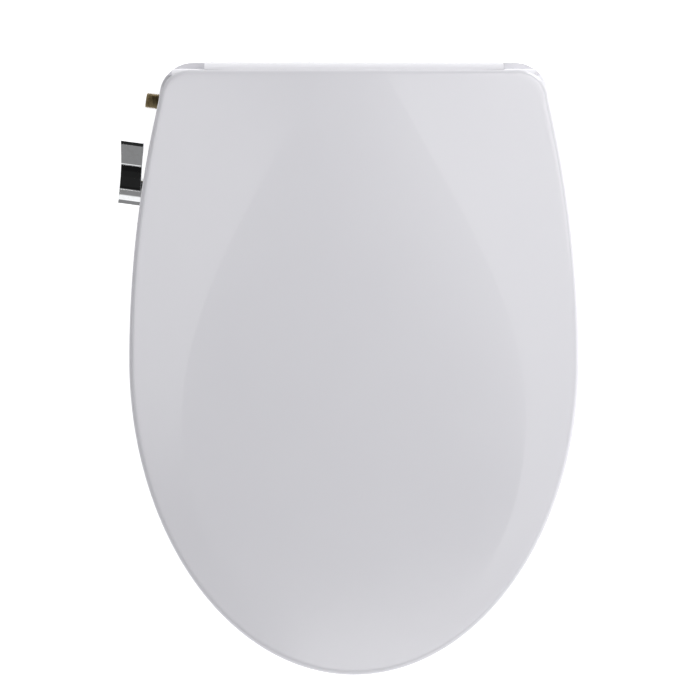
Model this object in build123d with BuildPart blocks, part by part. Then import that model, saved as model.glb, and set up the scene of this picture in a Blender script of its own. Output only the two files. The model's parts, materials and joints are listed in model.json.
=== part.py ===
from build123d import *
from math import asin, cos, degrees, radians, sin, sqrt, tan
import os

os.makedirs("parts", exist_ok=True)

# Bidet seat for an elongated bowl, with its lid and seat down. Millimetres.
# Frame: origin midway between the two bowl bolts on the bowl's top face, +Y to the rear, +Z up.

# ---------------------------------------------------------------- overall sizes
overall_length = 515.0          # rear edge of the base to the tip of the lid
overall_width = 377.4           # lid at its widest
base_rear_y = 45.0              # rear edge of the base, behind the bolt line
widest_y = -206.0               # station of the widest point
flank_radius = 968.0            # plan radius of the lid's flanks
lid_rear_y = 37.8
lid_corner_r = 25.0
tip_y = base_rear_y - overall_length

# Lid's domed top: one arc along the seat, one across it
crown_z = 58.8
crown_y = -60.0
crown_along_r = 6320.0
crown_across_r = 3000.0
lid_wall = 3.0
lid_edge_r = 4.0
lid_rim_gap = 1.5               # between the lid's rim and the seat's top
lid_wall_end_y = 16.5           # the lid's side walls stop here, ahead of the hinge

# Seat ring
seat_inset = 3.5                # seat's outline inside the lid's
seat_tip_z = 30.0               # top of the seat at its tip
seat_tilt = 1.96                # degrees, rising to the rear
seat_skirt_z = 10.0
seat_wall = 3.0
seat_edge_r = 9.0
seat_hole_y = -250.0
seat_side_land = 81.7           # lid's widest half width to the side of the opening
seat_front_land = 85.0          # lid's tip to the front of the opening
seat_hole_half_width = overall_width / 2 - seat_side_land
seat_hole_front = seat_hole_y - tip_y - seat_front_land
seat_hole_rear = 152.0
notch_half_width = 75.0
notch_y = -60.0
seat_base_gap = 4.5             # seat's skirt to the front of the base
seat_nozzle_gap = (70.0, 23.0)  # half width and depth of the room for the spray nozzles
rib_bottom_z = 18.0
rib_thickness = 2.5
rib_stations = (-340.0, -290.0, -240.0, -140.0)
long_rib_x = (40.0, 42.5)
closing_wall_x = (118.0, 172.0)
closing_wall_z = 14.0

# Base
base_front_y = -92.0
base_side_x = 175.0             # half width at the lever's station
base_side_angle = 7.75          # degrees, the sides close in towards the rear
base_rear_corner_r = 28.0
base_front_corner_r = 12.0
base_wall = 2.5
tray_z = 1.0
tray_split_z = 6.0
deck_z = 30.0
seat_deck_gap = 1.5
seat_over_base_z = deck_z + seat_deck_gap   # underside where the seat lies over the base
hump_half_width = 68.0
hump_front_y = -57.0
hump_top_z = 45.0

# Hinge: one axis for seat and lid
hinge_y = 27.0
hinge_z = 38.7
barrel_cover_r = 18.0           # lid's barrel over the hinge
barrel_cover_wall = 3.0
barrel_opening = (-1.0, -6.0)   # the barrel is open ahead of and below this, from the hinge axis
barrel_end_step = 2.5           # the end walls stand in from the barrel's outside
barrel_half_width = 125.5
barrel_front_gap = 1.0          # barrel to the seat's rear edge
trough_gap = (0.5, 1.2)         # barrel to the trough's front wall and floor
shoulder_wall = 3.0
shoulder_end_gap = 1.0          # barrel's end to the shoulder
shoulder_end_wall = 2.5
ledge_z = 21.0
ledge_y = 34.0
damper_r = 9.0
damper_in_x = 92.0
damper_out_x = 150.5
damper_shaft_r = 5.0
damper_flat = 3.6               # half the width across the shaft's flats
knuckle_wall = 4.0
knuckle_r = damper_r + knuckle_wall
seat_rear_y = hinge_y - barrel_cover_r - barrel_front_gap
hump_rear_y = seat_rear_y
trough_z = hinge_z - barrel_cover_r - trough_gap[1]
shoulder_r = damper_r + shoulder_wall
shoulder_in_x = barrel_half_width + shoulder_end_gap
shoulder_out_x = damper_out_x + shoulder_end_wall
knuckle_ring_x = (112.0, 121.5)
knuckle_key_x = (78.0, 91.0)
key_root_y = (-7.0, 9.0)        # root of the lid's knuckle, from the hinge axis
key_root_height = 15.5
bearing_x = (118.0, 127.0)
shaft_clear = 0.05
shaft_overhang = 1.5            # beyond the keyed knuckle
damper_shaft_depth = 12.0       # inside the damper
running_gap = 0.1               # radial, in a bearing
close_gap = 0.05                # radial, where two fixed pieces fit
cut_reach = 60.0                # far enough to pass through any wall

# Bowl mounting plate, bolted to the bowl, and the channel in the tray that slides over it
bolt_spacing = 140.0
bolt_hole_r = 4.25
plate_half_width = 108.0
plate_flange_width = 8.0
plate_body_half_width = plate_half_width - plate_flange_width
plate_y = (-40.0, 35.0)
plate_top_z = 5.0
plate_flange_z = 3.2
mat_thickness = 1.0
channel_side_gap = 5.0          # room for the rails beside the plate
channel_half_width = plate_half_width + channel_side_gap
channel_front_y = -45.0
channel_wall = 2.0
slot_size = (28.0, 14.0)
slot_clear = 0.4
plate_corner_r = 4.0
insert_flange = 4.0             # added to the slot's size
insert_flange_thickness = 1.5
lug_x = (plate_half_width - 20.0, plate_half_width - 12.0)
lug_y = (-6.0, 6.0)
lug_height = 5.0
lug_top_z = plate_top_z + lug_height
lug_roof_gap = 3.0
channel_roof_z = lug_top_z + lug_roof_gap

# Release button and latch
latch_y = (lug_y[1] + 0.3, lug_y[1] + 6.0)
latch_bar_z = (lug_top_z + 0.5, lug_top_z + 2.5)
button_y = (1.4, 16.6)
button_z = (latch_bar_z[0] - 2.1, latch_bar_z[1] + 2.1)
button_inner_x = 152.0

# Lever, valve and inlet on the base's -X side
lever_y = -62.8
valve_z = 15.2
valve_r = 10.5
valve_inner = -36.5
nose_step = 2.5                 # valve's body to its threaded nose
nose_r = valve_r - nose_step
spindle_r = 4.0
collar_width = 4.5
collar_r = nose_r + collar_width
collar_thickness = 3.0
lever_hub_r = 11.4
lever_span = (3.5, 22.7)        # distance from the side wall
lever_reach = 41.3
lever_neck_reach = 21.0
lever_neck_width = 16.4
inlet_y = 12.3
inlet_z = 16.0
inlet_r = 6.58                  # major radius of a G1/4 thread
inlet_length = 10.8
inlet_neck = (0.5, 5.8)         # plain neck through the wall: how far it shows, and its radius
inlet_bore_r = 4.2
hose_r = 3.2
hose_bore_r = 2.0
barb_r = hose_bore_r - 0.1

# Spray nozzles
nozzle_x = 12.0
nozzle_r = 5.0
nozzle_slope = 13.0             # degrees below the horizontal
nozzle_exit_z = 10.5
nozzle_length = 90.0
nozzle_tip_length = 14.0
barrel_wall = 1.5
spring_room = 1.5               # radial, round the nozzle in its barrel
barrel_bore_r = nozzle_r + spring_room
barrel_r = barrel_bore_r + barrel_wall
barrel_span = (10.0, 91.5)      # distance back from the exit
piston_r = barrel_bore_r - running_gap
piston_length = 4.0
gland_length = 4.0

screw_r = 1.5
screw_head_r = 3.0
cover_screw_length = 18.0


# ---------------------------------------------------------------- shared shapes
def block(x, y, z, mode=Mode.ADD):
    """A box between low and high values on each axis."""
    with Locations(((x[0] + x[1]) / 2, (y[0] + y[1]) / 2, (z[0] + z[1]) / 2)):
        Box(abs(x[1] - x[0]), abs(y[1] - y[0]), abs(z[1] - z[0]), mode=mode)


def post(x, y, z, radius, mode=Mode.ADD):
    """An upright post between a low and a high level."""
    with Locations((x, y, z[0])):
        Cylinder(radius, z[1] - z[0], align=(Align.CENTER, Align.CENTER, Align.MIN), mode=mode)


def hinge_drum(x_from, x_to, radius, mode=Mode.ADD):
    """A drum about the hinge axis between two stations across the seat."""
    with Locations(((x_from + x_to) / 2, hinge_y, hinge_z)):
        Cylinder(radius, abs(x_to - x_from), rotation=(0, 90, 0), mode=mode)


def span(pair, side):
    """A low-high pair of stations on the chosen side of the middle."""
    return tuple(sorted((pair[0] * side, pair[1] * side)))


def base_half_width(y):
    """Half width of the base at a station."""
    return base_side_x - (y - lever_y) * tan(radians(base_side_angle))


def base_outline(inset=0.0):
    """Plan of the base, moved in by inset."""
    sideways = inset / cos(radians(base_side_angle))
    rear_y = base_rear_y - inset
    front_y = base_front_y + inset
    rear_x = base_half_width(rear_y) - sideways
    front_x = base_half_width(front_y) - sideways
    with BuildSketch() as plan:
        with BuildLine():
            Polyline((-rear_x, rear_y), (rear_x, rear_y), (front_x, front_y))
            Polyline((front_x, front_y), (-front_x, front_y), (-rear_x, rear_y))
        make_face()
        fillet(plan.vertices().group_by(Axis.Y)[-1], base_rear_corner_r - inset)
        fillet(plan.vertices().group_by(Axis.Y)[0], base_front_corner_r - inset)
    return plan.sketch_local


def lid_outline(inset=0.0):
    """Plan of the lid, moved in by inset: half an ellipse in front, arcs along the flanks."""
    half = overall_width / 2 - inset
    reach = widest_y - tip_y - inset
    radius = flank_radius - inset
    rear_y = lid_rear_y - inset
    sweep_angle = degrees(asin((rear_y - widest_y) / radius))
    with BuildSketch() as plan:
        with BuildLine():
            EllipticalCenterArc((0, widest_y), half, reach, 180, arc_size=180)
            right = CenterArc((half - radius, widest_y), radius, 0, sweep_angle)
            left = CenterArc((radius - half, widest_y), radius, 180, -sweep_angle)
            Line(right @ 1, left @ 1)
        make_face()
        fillet(plan.vertices().group_by(Axis.Y)[-1], lid_corner_r - inset)
    return plan.sketch_local


def crown_height(x, y):
    """Height of the lid's top at a point of the plan."""
    return crown_z - (y - crown_y) ** 2 / (2 * crown_along_r) - x**2 / (2 * crown_across_r)


def crown_solid(drop=0.0):
    """Everything under the lid's domed top, lowered by drop."""
    along_r = crown_along_r - drop
    across_r = crown_across_r - drop
    half = overall_width / 2 + 20
    sag = across_r - sqrt(across_r**2 - half**2)
    centre_z = crown_z - crown_along_r
    start = asin((tip_y - 20 - crown_y) / along_r)
    turn = degrees(asin((base_rear_y + 20 - crown_y) / along_r) - start)
    foot = (0, crown_y + along_r * sin(start), centre_z + along_r * cos(start))
    with BuildPart() as dome:
        with BuildSketch(Plane(origin=foot, x_dir=(1, 0, 0), z_dir=(0, -cos(start), sin(start)))):
            with BuildLine():
                ThreePointArc((-half, -sag), (0, 0), (half, -sag))
                Polyline((half, -sag), (half, -70), (-half, -70), (-half, -sag))
            make_face()
        revolve(axis=Axis((0, crown_y, centre_z), (-1, 0, 0)), revolution_arc=turn)
    return dome.part


def seat_top_plane(raised=0.0):
    """Plane of the seat's top face, raised along its own normal."""
    tilt = radians(seat_tilt)
    plane = Plane(origin=(0, tip_y, seat_tip_z), x_dir=(1, 0, 0), z_dir=(0, -sin(tilt), cos(tilt)))
    return plane.offset(raised)


def seat_top(y):
    """Height of the seat's top at a station."""
    return seat_tip_z + (y - tip_y) * tan(radians(seat_tilt))


def side_plane(y, z):
    """Plane on the base's -X side wall: x forward, y up, z outward."""
    turn = radians(base_side_angle)
    return Plane(
        origin=(-base_half_width(y), y, z),
        x_dir=(-sin(turn), -cos(turn), 0),
        z_dir=(-cos(turn), sin(turn), 0),
    )


def drum(plane, from_face, to_face, radius, centre=(0, 0), mode=Mode.ADD):
    """A drum along a plane's normal between two distances from it."""
    with BuildSketch(plane.offset(from_face)) as disc:
        with Locations(centre):
            Circle(radius)
    extrude(disc.sketch, amount=to_face - from_face, mode=mode)


def nozzle_plane(x, back):
    """Plane across a nozzle at a distance back from its exit, facing rearwards and up."""
    slope = radians(nozzle_slope)
    origin = (x, base_front_y + back * cos(slope), nozzle_exit_z + back * sin(slope))
    return Plane(origin=origin, x_dir=(-1, 0, 0), z_dir=(0, cos(slope), sin(slope)))


def nozzle_drum(x, back_from, back_to, radius, mode=Mode.ADD):
    """A drum about a nozzle's axis between two distances back from its exit."""
    drum(nozzle_plane(x, 0), back_from, back_to, radius, mode=mode)


def hose(points, bends):
    """A hollow hose along straight runs joined by arcs."""
    with BuildPart() as tube:
        with BuildLine() as route:
            FilletPolyline(*points, radius=bends)
        with BuildSketch(Plane(origin=route.line @ 0, z_dir=route.line % 0)):
            Circle(hose_r)
            Circle(hose_bore_r, mode=Mode.SUBTRACT)
        sweep()
    return tube.part


def coil(plane, length, mean_r, wire_r, turns):
    """A compression spring standing on a plane."""
    with BuildPart() as spring:
        with BuildLine() as wire:
            Helix(length / turns, length, mean_r)
        with BuildSketch(Plane(origin=wire.line @ 0, z_dir=wire.line % 0)):
            Circle(wire_r)
        sweep(is_frenet=True)
    return plane.location * spring.part


def shaft_profile(gap=0.0):
    """A round damper shaft with two flats, opened out by gap."""
    with BuildSketch() as profile:
        Circle(damper_shaft_r + gap)
        Rectangle(4 * damper_shaft_r, 2 * (damper_flat + gap), mode=Mode.INTERSECT)
    return profile.sketch_local


def shaft_cut(x_from, x_to, gap, mode):
    """The damper shaft's section carried along the hinge axis."""
    with BuildSketch(Plane.YZ.offset(x_from)) as section:
        with Locations((hinge_y, hinge_z)):
            add(shaft_profile(gap))
    extrude(section.sketch, amount=x_to - x_from, mode=mode)


valve_plane = side_plane(lever_y, valve_z)
inlet_plane = side_plane(inlet_y, inlet_z)
full_width = (-overall_width / 2, overall_width / 2)

# ---------------------------------------------------------------- lid
with BuildPart() as lid_hollow:
    with BuildSketch():
        add(lid_outline(lid_wall))
    extrude(amount=crown_z)
    block(full_width, (lid_wall_end_y, base_rear_y), (0, crown_z))
    add(crown_solid(lid_wall), mode=Mode.INTERSECT)

lid_pad_places = [(side * x, y) for side in (-1, 1) for x, y in ((142.0, -150.0), (95.0, tip_y + 90))]
lid_pad_r = 6.0
lid_pad_thickness = 3.5
pad_rest_gap = 0.3

with BuildPart() as lid:
    with BuildSketch(Plane.XY.offset(seat_tip_z)):
        add(lid_outline())
    extrude(amount=crown_z - seat_tip_z)
    add(crown_solid(), mode=Mode.INTERSECT)
    fillet(lid.faces().sort_by(Axis.Z)[-1].edges(), lid_edge_r)
    split(bisect_by=seat_top_plane(lid_rim_gap), keep=Keep.TOP)
    add(lid_hollow.part, mode=Mode.SUBTRACT)
    for x, y in lid_pad_places:
        foot_z = seat_top(y) + pad_rest_gap + lid_pad_thickness
        post(x, y, (foot_z, crown_height(x, y) - lid_wall / 2), lid_pad_r + 1)
lid.part.label = "lid"
export_step(lid.part, "parts/lid.step")

with BuildPart() as above_plate:
    block(full_width, (0, lid_rear_y), (hinge_z, crown_z + 5))
    add(crown_solid(lid_wall), mode=Mode.SUBTRACT)

# Barrel under the lid's rear edge: a half-open tube over the hinge, with an end wall and a
# bearing at each end, and a keyed knuckle on the -X side
with BuildPart() as lid_barrel:
    with BuildSketch(Plane.YZ.offset(-barrel_half_width)):
        with Locations((hinge_y, hinge_z)):
            Circle(barrel_cover_r)
            Circle(barrel_cover_r - barrel_cover_wall, mode=Mode.SUBTRACT)
        with Locations((hinge_y + barrel_opening[0], hinge_z + barrel_opening[1])):
            low_corner = (Align.MIN, Align.MIN)
            Rectangle(2 * barrel_cover_r, 2 * barrel_cover_r, align=low_corner, mode=Mode.INTERSECT)
    extrude(amount=2 * barrel_half_width)
    end_wall_x = (barrel_half_width - barrel_cover_wall, barrel_half_width)
    for side in (-1, 1):
        hinge_drum(*span(end_wall_x, side), barrel_cover_r - barrel_end_step)
    hinge_drum(*span(knuckle_key_x, -1), knuckle_r)
    key_root = (hinge_y + key_root_y[0], hinge_y + key_root_y[1])
    block(span(knuckle_key_x, -1), key_root, (hinge_z, hinge_z + key_root_height))
    for side in (-1, 1):
        hinge_drum(*span(bearing_x, side), damper_r + running_gap, mode=Mode.SUBTRACT)
    shaft_cut(-knuckle_key_x[1] - 1, -knuckle_key_x[0] + 1, shaft_clear, Mode.SUBTRACT)
    add(above_plate.part, mode=Mode.SUBTRACT)
lid_barrel.part.label = "lid_barrel"
export_step(lid_barrel.part, "parts/lid_barrel.step")

with BuildPart() as lid_bumpers:
    for x, y in lid_pad_places:
        pad_foot = seat_top(y) + pad_rest_gap
        post(x, y, (pad_foot, pad_foot + lid_pad_thickness), lid_pad_r)
lid_bumpers.part.label = "lid_bumpers"
export_step(lid_bumpers.part, "parts/lid_bumpers.step")

with BuildPart() as lid_damper_shaft:
    shaft_cut(-damper_in_x - damper_shaft_depth, -knuckle_key_x[0] + shaft_overhang, 0, Mode.ADD)
lid_damper_shaft.part.label = "lid_damper_shaft"
export_step(lid_damper_shaft.part, "parts/lid_damper_shaft.step")


# ---------------------------------------------------------------- seat ring
def seat_plan(inset=0.0):
    """Plan of the seat, moved in by inset: outline, egg-shaped opening and rear notch."""
    with BuildSketch() as plan:
        add(lid_outline(seat_inset + inset))
        with Locations((0, seat_rear_y - inset)):
            Rectangle(overall_width, 80, align=(Align.CENTER, Align.MIN), mode=Mode.SUBTRACT)
        with BuildSketch(mode=Mode.SUBTRACT) as egg:
            with BuildLine():
                half = seat_hole_half_width + inset
                EllipticalCenterArc((0, seat_hole_y), half, seat_hole_front + inset, 180, arc_size=180)
                EllipticalCenterArc((0, seat_hole_y), half, seat_hole_rear + inset, 0, arc_size=180)
            make_face()
        with BuildSketch(mode=Mode.SUBTRACT) as notch:
            with Locations((0, notch_y - inset)):
                Rectangle(2 * (notch_half_width + inset), 120, align=(Align.CENTER, Align.MIN))
            fillet(notch.vertices().group_by(Axis.Y)[0], 10 + inset)
    return plan.sketch_local


with BuildPart() as seat_hollow:
    with BuildSketch():
        add(seat_plan(seat_wall))
    extrude(amount=crown_z)
    split(bisect_by=seat_top_plane(-seat_wall), keep=Keep.BOTTOM)

seat_foot_places = [(side * x, y) for side in (-1, 1) for x, y in ((142.0, -190.0), (92.0, tip_y + 95))]
seat_foot_r = 8.0

with BuildPart() as seat_ribs:
    for y in rib_stations:
        block(full_width, (y - rib_thickness / 2, y + rib_thickness / 2), (rib_bottom_z, cut_reach))
    for side in (-1, 1):
        block(span(long_rib_x, side), (tip_y, seat_hole_y), (rib_bottom_z, cut_reach))
    add(seat_hollow.part, mode=Mode.INTERSECT)

with BuildPart() as seat_ring:
    with BuildSketch(Plane.XY.offset(seat_skirt_z)):
        add(seat_plan())
    extrude(amount=crown_z)
    split(bisect_by=seat_top_plane(), keep=Keep.BOTTOM)
    fillet(seat_ring.faces().sort_by(Axis.Z)[-1].edges(), seat_edge_r - 2)
    add(seat_hollow.part, mode=Mode.SUBTRACT)
    add(seat_ribs.part)
    # Clear of the base's deck, and of the spray nozzles in the middle
    skirt_end_y = base_front_y - seat_base_gap
    block(full_width, (skirt_end_y, base_rear_y), (0, seat_over_base_z), mode=Mode.SUBTRACT)
    nozzle_room, nozzle_depth = seat_nozzle_gap
    room_y = (base_front_y - nozzle_depth, base_rear_y)
    block((-nozzle_room, nozzle_room), room_y, (0, seat_over_base_z), mode=Mode.SUBTRACT)
    # Closing walls where the skirt stops in front of the base
    closing_z = (closing_wall_z, seat_top(base_front_y) - 1)
    for side in (-1, 1):
        block(span(closing_wall_x, side), (skirt_end_y - seat_wall, skirt_end_y), closing_z)
    for x, y in seat_foot_places:
        post(x, y, (seat_skirt_z, seat_top(y) - seat_wall / 2), seat_foot_r + 1.5)
    # Hinge arms: a bearing ring on each side and a keyed knuckle on the +X side
    arm_z = (seat_over_base_z, hinge_z + 5.3)
    for low, high in (span(knuckle_ring_x, -1), knuckle_ring_x, knuckle_key_x):
        block((low, high), (seat_rear_y - 4, hinge_y), arm_z)
        hinge_drum(low, high, knuckle_r)
    for low, high in (span(knuckle_ring_x, -1), knuckle_ring_x):
        hinge_drum(low - 1, high + 1, damper_r + running_gap, mode=Mode.SUBTRACT)
    shaft_cut(knuckle_key_x[0] - 1, knuckle_key_x[1] + 1, shaft_clear, Mode.SUBTRACT)
seat_ring.part.label = "seat_ring"
export_step(seat_ring.part, "parts/seat_ring.step")

with BuildPart() as seat_bumpers:
    for x, y in seat_foot_places:
        post(x, y, (0, seat_skirt_z), seat_foot_r)
    fillet(seat_bumpers.edges().group_by(Axis.Z)[0], 2)
seat_bumpers.part.label = "seat_bumpers"
export_step(seat_bumpers.part, "parts/seat_bumpers.step")

with BuildPart() as seat_damper_shaft:
    shaft_cut(knuckle_key_x[0] - shaft_overhang, damper_in_x + damper_shaft_depth, 0, Mode.ADD)
seat_damper_shaft.part.label = "seat_damper_shaft"
export_step(seat_damper_shaft.part, "parts/seat_damper_shaft.step")

# ---------------------------------------------------------------- base tray
post_places = [(side * x, y) for side in (-1, 1) for x, y in ((108.0, -80.0), (150.0, 27.0))]
post_wall = 2.5
post_r = screw_r + post_wall
tray_floor_top = tray_z + base_wall
rail_x = (plate_body_half_width + 1, channel_half_width)
channel_outer = channel_half_width + channel_wall
tray_roof_top = channel_roof_z + channel_wall
rail_gap = 0.3
rail_foot_z = 0.4
rail_thickness = 2.0
window_half_width = 30.0        # nozzle window in the front of the base
window_z = (4.0, 20.0)
barrel_cradle_y = (-76.0, -71.0)
barrel_cradle_half_width = 6.0
valve_cradle = (-24.0, -12.0)   # from the side wall
screw_clear = 0.1
head_recess = (2.4, 0.3)        # depth and radial clearance
spring_rib_x = (132.0, 135.0)

with BuildPart() as base_tray:
    with BuildSketch(Plane.XY.offset(tray_z)):
        add(base_outline())
    extrude(amount=tray_split_z - tray_z)
    with BuildSketch(Plane.XY.offset(tray_floor_top)):
        add(base_outline(base_wall))
    extrude(amount=10, mode=Mode.SUBTRACT)
    # Channel that slides over the mounting plate, open at the rear
    channel_y = (channel_front_y, base_rear_y)
    roof_y = (channel_y[0] - channel_wall, channel_y[1])
    block((-channel_outer, channel_outer), roof_y, (tray_z, tray_roof_top))
    way_in = (channel_y[0], channel_y[1] + 1)
    block((-channel_half_width, channel_half_width), way_in, (0, channel_roof_z), mode=Mode.SUBTRACT)
    upper_rail_z = plate_top_z + rail_gap
    for side in (-1, 1):
        block(span(rail_x, side), channel_y, (rail_foot_z, plate_flange_z - rail_gap))
        block(span(rail_x, side), channel_y, (upper_rail_z, upper_rail_z + rail_thickness))
    # Way for the latch bar, its guide and its spring's rib
    latch_clear = 0.4
    latch_window_y = (latch_y[0] - latch_clear, latch_y[1] + latch_clear)
    latch_window_z = (latch_bar_z[0] - latch_clear, latch_bar_z[1] + latch_clear)
    block(spring_rib_x, button_y, (tray_floor_top, latch_bar_z[1] + 3))
    latch_way_x = (channel_half_width - 1, spring_rib_x[1] + 1)
    block(latch_way_x, latch_window_y, latch_window_z, mode=Mode.SUBTRACT)
    # Cradles for the valve, the inlet and the nozzle barrels
    with BuildSketch(valve_plane.offset(valve_cradle[0])) as cradle:
        with Locations((0, tray_floor_top - valve_z)):
            Rectangle(2 * valve_r, 6, align=(Align.CENTER, Align.MIN))
    extrude(cradle.sketch, amount=valve_cradle[1] - valve_cradle[0])
    drum(valve_plane, valve_inner - 1, 0, valve_r + close_gap, mode=Mode.SUBTRACT)
    for x in (-nozzle_x, nozzle_x):
        cradle_x = (x - barrel_cradle_half_width, x + barrel_cradle_half_width)
        block(cradle_x, barrel_cradle_y, (tray_floor_top, nozzle_exit_z + 1))
        nozzle_drum(x, 0, 75, barrel_r + close_gap, mode=Mode.SUBTRACT)
    window_x = (-window_half_width, window_half_width)
    window_y = (base_front_y - 1, base_front_y + base_wall + 1)
    block(window_x, window_y, (window_z[0], tray_split_z + 1), mode=Mode.SUBTRACT)
    for x, y in post_places:
        post(x, y, (0, tray_z + 2 * base_wall), screw_r + screw_clear, mode=Mode.SUBTRACT)
        post(x, y, (0, tray_z + head_recess[0] / 2), screw_head_r + head_recess[1], mode=Mode.SUBTRACT)
base_tray.part.label = "base_tray"
export_step(base_tray.part, "parts/base_tray.step")

tray_pad_r = 7.0
tray_pad_places = [(side * x, y) for side in (-1, 1) for x, y in ((145.0, -78.0), (135.0, 33.0))]
with BuildPart() as tray_pads:
    for x, y in tray_pad_places:
        post(x, y, (0, tray_z), tray_pad_r)
tray_pads.part.label = "tray_pads"
export_step(tray_pads.part, "parts/tray_pads.step")


# ---------------------------------------------------------------- base cover
deck_edge_r = 3.0
hump_edge_r = 4.0
hump_corner_r = 12.0
nose_clear = 0.2
inlet_clear = 0.4


def cover_body(inset=0.0):
    """The cover's outer form, with every face moved in by inset."""
    out = base_half_width(base_front_y)
    with BuildPart() as body:
        with BuildSketch(Plane.XY.offset(tray_split_z)):
            add(base_outline(inset))
        extrude(amount=deck_z - inset - tray_split_z)
        if inset == 0:
            fillet(body.faces().sort_by(Axis.Z)[-1].edges(), deck_edge_r)
        with BuildSketch(Plane.XY.offset(tray_split_z)):
            with Locations((0, hump_front_y + inset)):
                RectangleRounded(
                    2 * (hump_half_width - inset),
                    hump_rear_y - hump_front_y - 2 * inset,
                    hump_corner_r - inset,
                    align=(Align.CENTER, Align.MIN),
                )
        extrude(amount=hump_top_z - inset - tray_split_z)
        if inset == 0:
            fillet(body.faces().sort_by(Axis.Z)[-1].edges(), hump_edge_r)
        # Trough under the lid's barrel, and the low ledge behind the shoulders
        side_x = shoulder_in_x + inset
        trough_y = (hinge_y - barrel_cover_r - trough_gap[0] - inset, cut_reach)
        block((-side_x, side_x), trough_y, (trough_z - inset, cut_reach), mode=Mode.SUBTRACT)
        block((-out, out), (ledge_y - inset, cut_reach), (ledge_z - inset, cut_reach), mode=Mode.SUBTRACT)
    return body.part


with BuildPart() as base_cover:
    add(cover_body())
    add(cover_body(base_wall), mode=Mode.SUBTRACT)
    # Shoulders that carry the dampers, solid from the deck up
    shoulder_span = (shoulder_in_x, shoulder_out_x)
    for side in (-1, 1):
        low, high = span(shoulder_span, side)
        hinge_drum(low, high, shoulder_r)
        block((low, high), (hinge_y - shoulder_r, hinge_y + 5.5), (deck_z - base_wall, hinge_z))
        hinge_drum(side * (shoulder_in_x - 1), side * damper_out_x, damper_r, mode=Mode.SUBTRACT)
    for x, y in post_places:
        post(x, y, (tray_floor_top, deck_z - 1), post_r)
        post(x, y, (0, tray_floor_top + cover_screw_length), screw_r, mode=Mode.SUBTRACT)
    # Rear mouth of the channel, nozzle window, button window, valve and inlet holes
    mouth = channel_outer + rail_gap
    rear_wall_y = (base_rear_y - base_wall - 1, base_rear_y + 1)
    block((-mouth, mouth), rear_wall_y, (0, tray_roof_top + rail_gap), mode=Mode.SUBTRACT)
    block(window_x, window_y, window_z, mode=Mode.SUBTRACT)
    button_way_y = (button_y[0] - latch_clear, button_y[1] + latch_clear)
    button_way_z = (button_z[0] - latch_clear, button_z[1] + latch_clear)
    block((button_inner_x + 3, base_side_x), button_way_y, button_way_z, mode=Mode.SUBTRACT)
    drum(valve_plane, -2 * base_wall, base_wall, nose_r + nose_clear, mode=Mode.SUBTRACT)
    drum(inlet_plane, -2 * base_wall, base_wall, inlet_r + inlet_clear, mode=Mode.SUBTRACT)
base_cover.part.label = "base_cover"
export_step(base_cover.part, "parts/base_cover.step")

head_foot_z = tray_z + 0.2
head_top_z = tray_z + 1.2
with BuildPart() as cover_screws:
    for x, y in post_places:
        post(x, y, (head_top_z, head_top_z + cover_screw_length - 2), screw_r)
        post(x, y, (head_foot_z, head_top_z), screw_head_r)
cover_screws.part.label = "cover_screws"
export_step(cover_screws.part, "parts/cover_screws.step")

# ---------------------------------------------------------------- mounting plate
insert_x = bolt_spacing / 2
with BuildPart() as mounting_plate:
    block((-plate_body_half_width, plate_body_half_width), plate_y, (mat_thickness, plate_top_z))
    block((-plate_half_width, plate_half_width), plate_y, (plate_flange_z, plate_top_z))
    fillet(mounting_plate.edges().filter_by(Axis.Z), plate_corner_r)
    block(lug_x, lug_y, (plate_top_z, lug_top_z))
    with BuildSketch(Plane.XY):
        with Locations((-insert_x, 0), (insert_x, 0)):
            SlotOverall(slot_size[0] + slot_clear, slot_size[1] + slot_clear, rotation=90)
    extrude(amount=plate_top_z, mode=Mode.SUBTRACT)
mounting_plate.part.label = "mounting_plate"
export_step(mounting_plate.part, "parts/mounting_plate.step")

with BuildPart() as plate_mat:
    block((-plate_body_half_width, plate_body_half_width), plate_y, (0, mat_thickness))
    fillet(plate_mat.edges().filter_by(Axis.Z), plate_corner_r)
    with BuildSketch(Plane.XY):
        with Locations((-insert_x, 0), (insert_x, 0)):
            SlotOverall(slot_size[0] + slot_clear, slot_size[1] + slot_clear, rotation=90)
    extrude(amount=mat_thickness, mode=Mode.SUBTRACT)
plate_mat.part.label = "plate_mat"
export_step(plate_mat.part, "parts/plate_mat.step")

with BuildPart() as bolt_inserts:
    with BuildSketch(Plane.XY):
        with Locations((-insert_x, 0), (insert_x, 0)):
            SlotOverall(*slot_size, rotation=90)
    extrude(amount=plate_top_z)
    with BuildSketch(Plane.XY.offset(plate_top_z)):
        with Locations((-insert_x, 0), (insert_x, 0)):
            SlotOverall(slot_size[0] + insert_flange, slot_size[1] + insert_flange, rotation=90)
    extrude(amount=insert_flange_thickness)
    with Locations((-insert_x, 0, 0), (insert_x, 0, 0)):
        Cylinder(bolt_hole_r, 20, mode=Mode.SUBTRACT)
bolt_inserts.part.label = "bolt_inserts"
export_step(bolt_inserts.part, "parts/bolt_inserts.step")

# ---------------------------------------------------------------- release button and latch
with BuildPart() as release_button:
    with BuildSketch(Plane.XY.offset(button_z[0])):
        add(base_outline())
        with Locations((button_inner_x, button_y[0])):
            Rectangle(30, button_y[1] - button_y[0], align=(Align.MIN, Align.MIN), mode=Mode.INTERSECT)
    extrude(amount=button_z[1] - button_z[0])
    fillet(release_button.faces().sort_by(Axis.X)[-1].edges(), 0.8)
release_button.part.label = "release_button"
export_step(release_button.part, "parts/release_button.step")

with BuildPart() as latch_bar:
    block((lug_x[0], button_inner_x), latch_y, latch_bar_z)
    block(lug_x, latch_y, (lug_top_z - 4, latch_bar_z[0]))
latch_bar.part.label = "latch_bar"
export_step(latch_bar.part, "parts/latch_bar.step")

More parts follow.
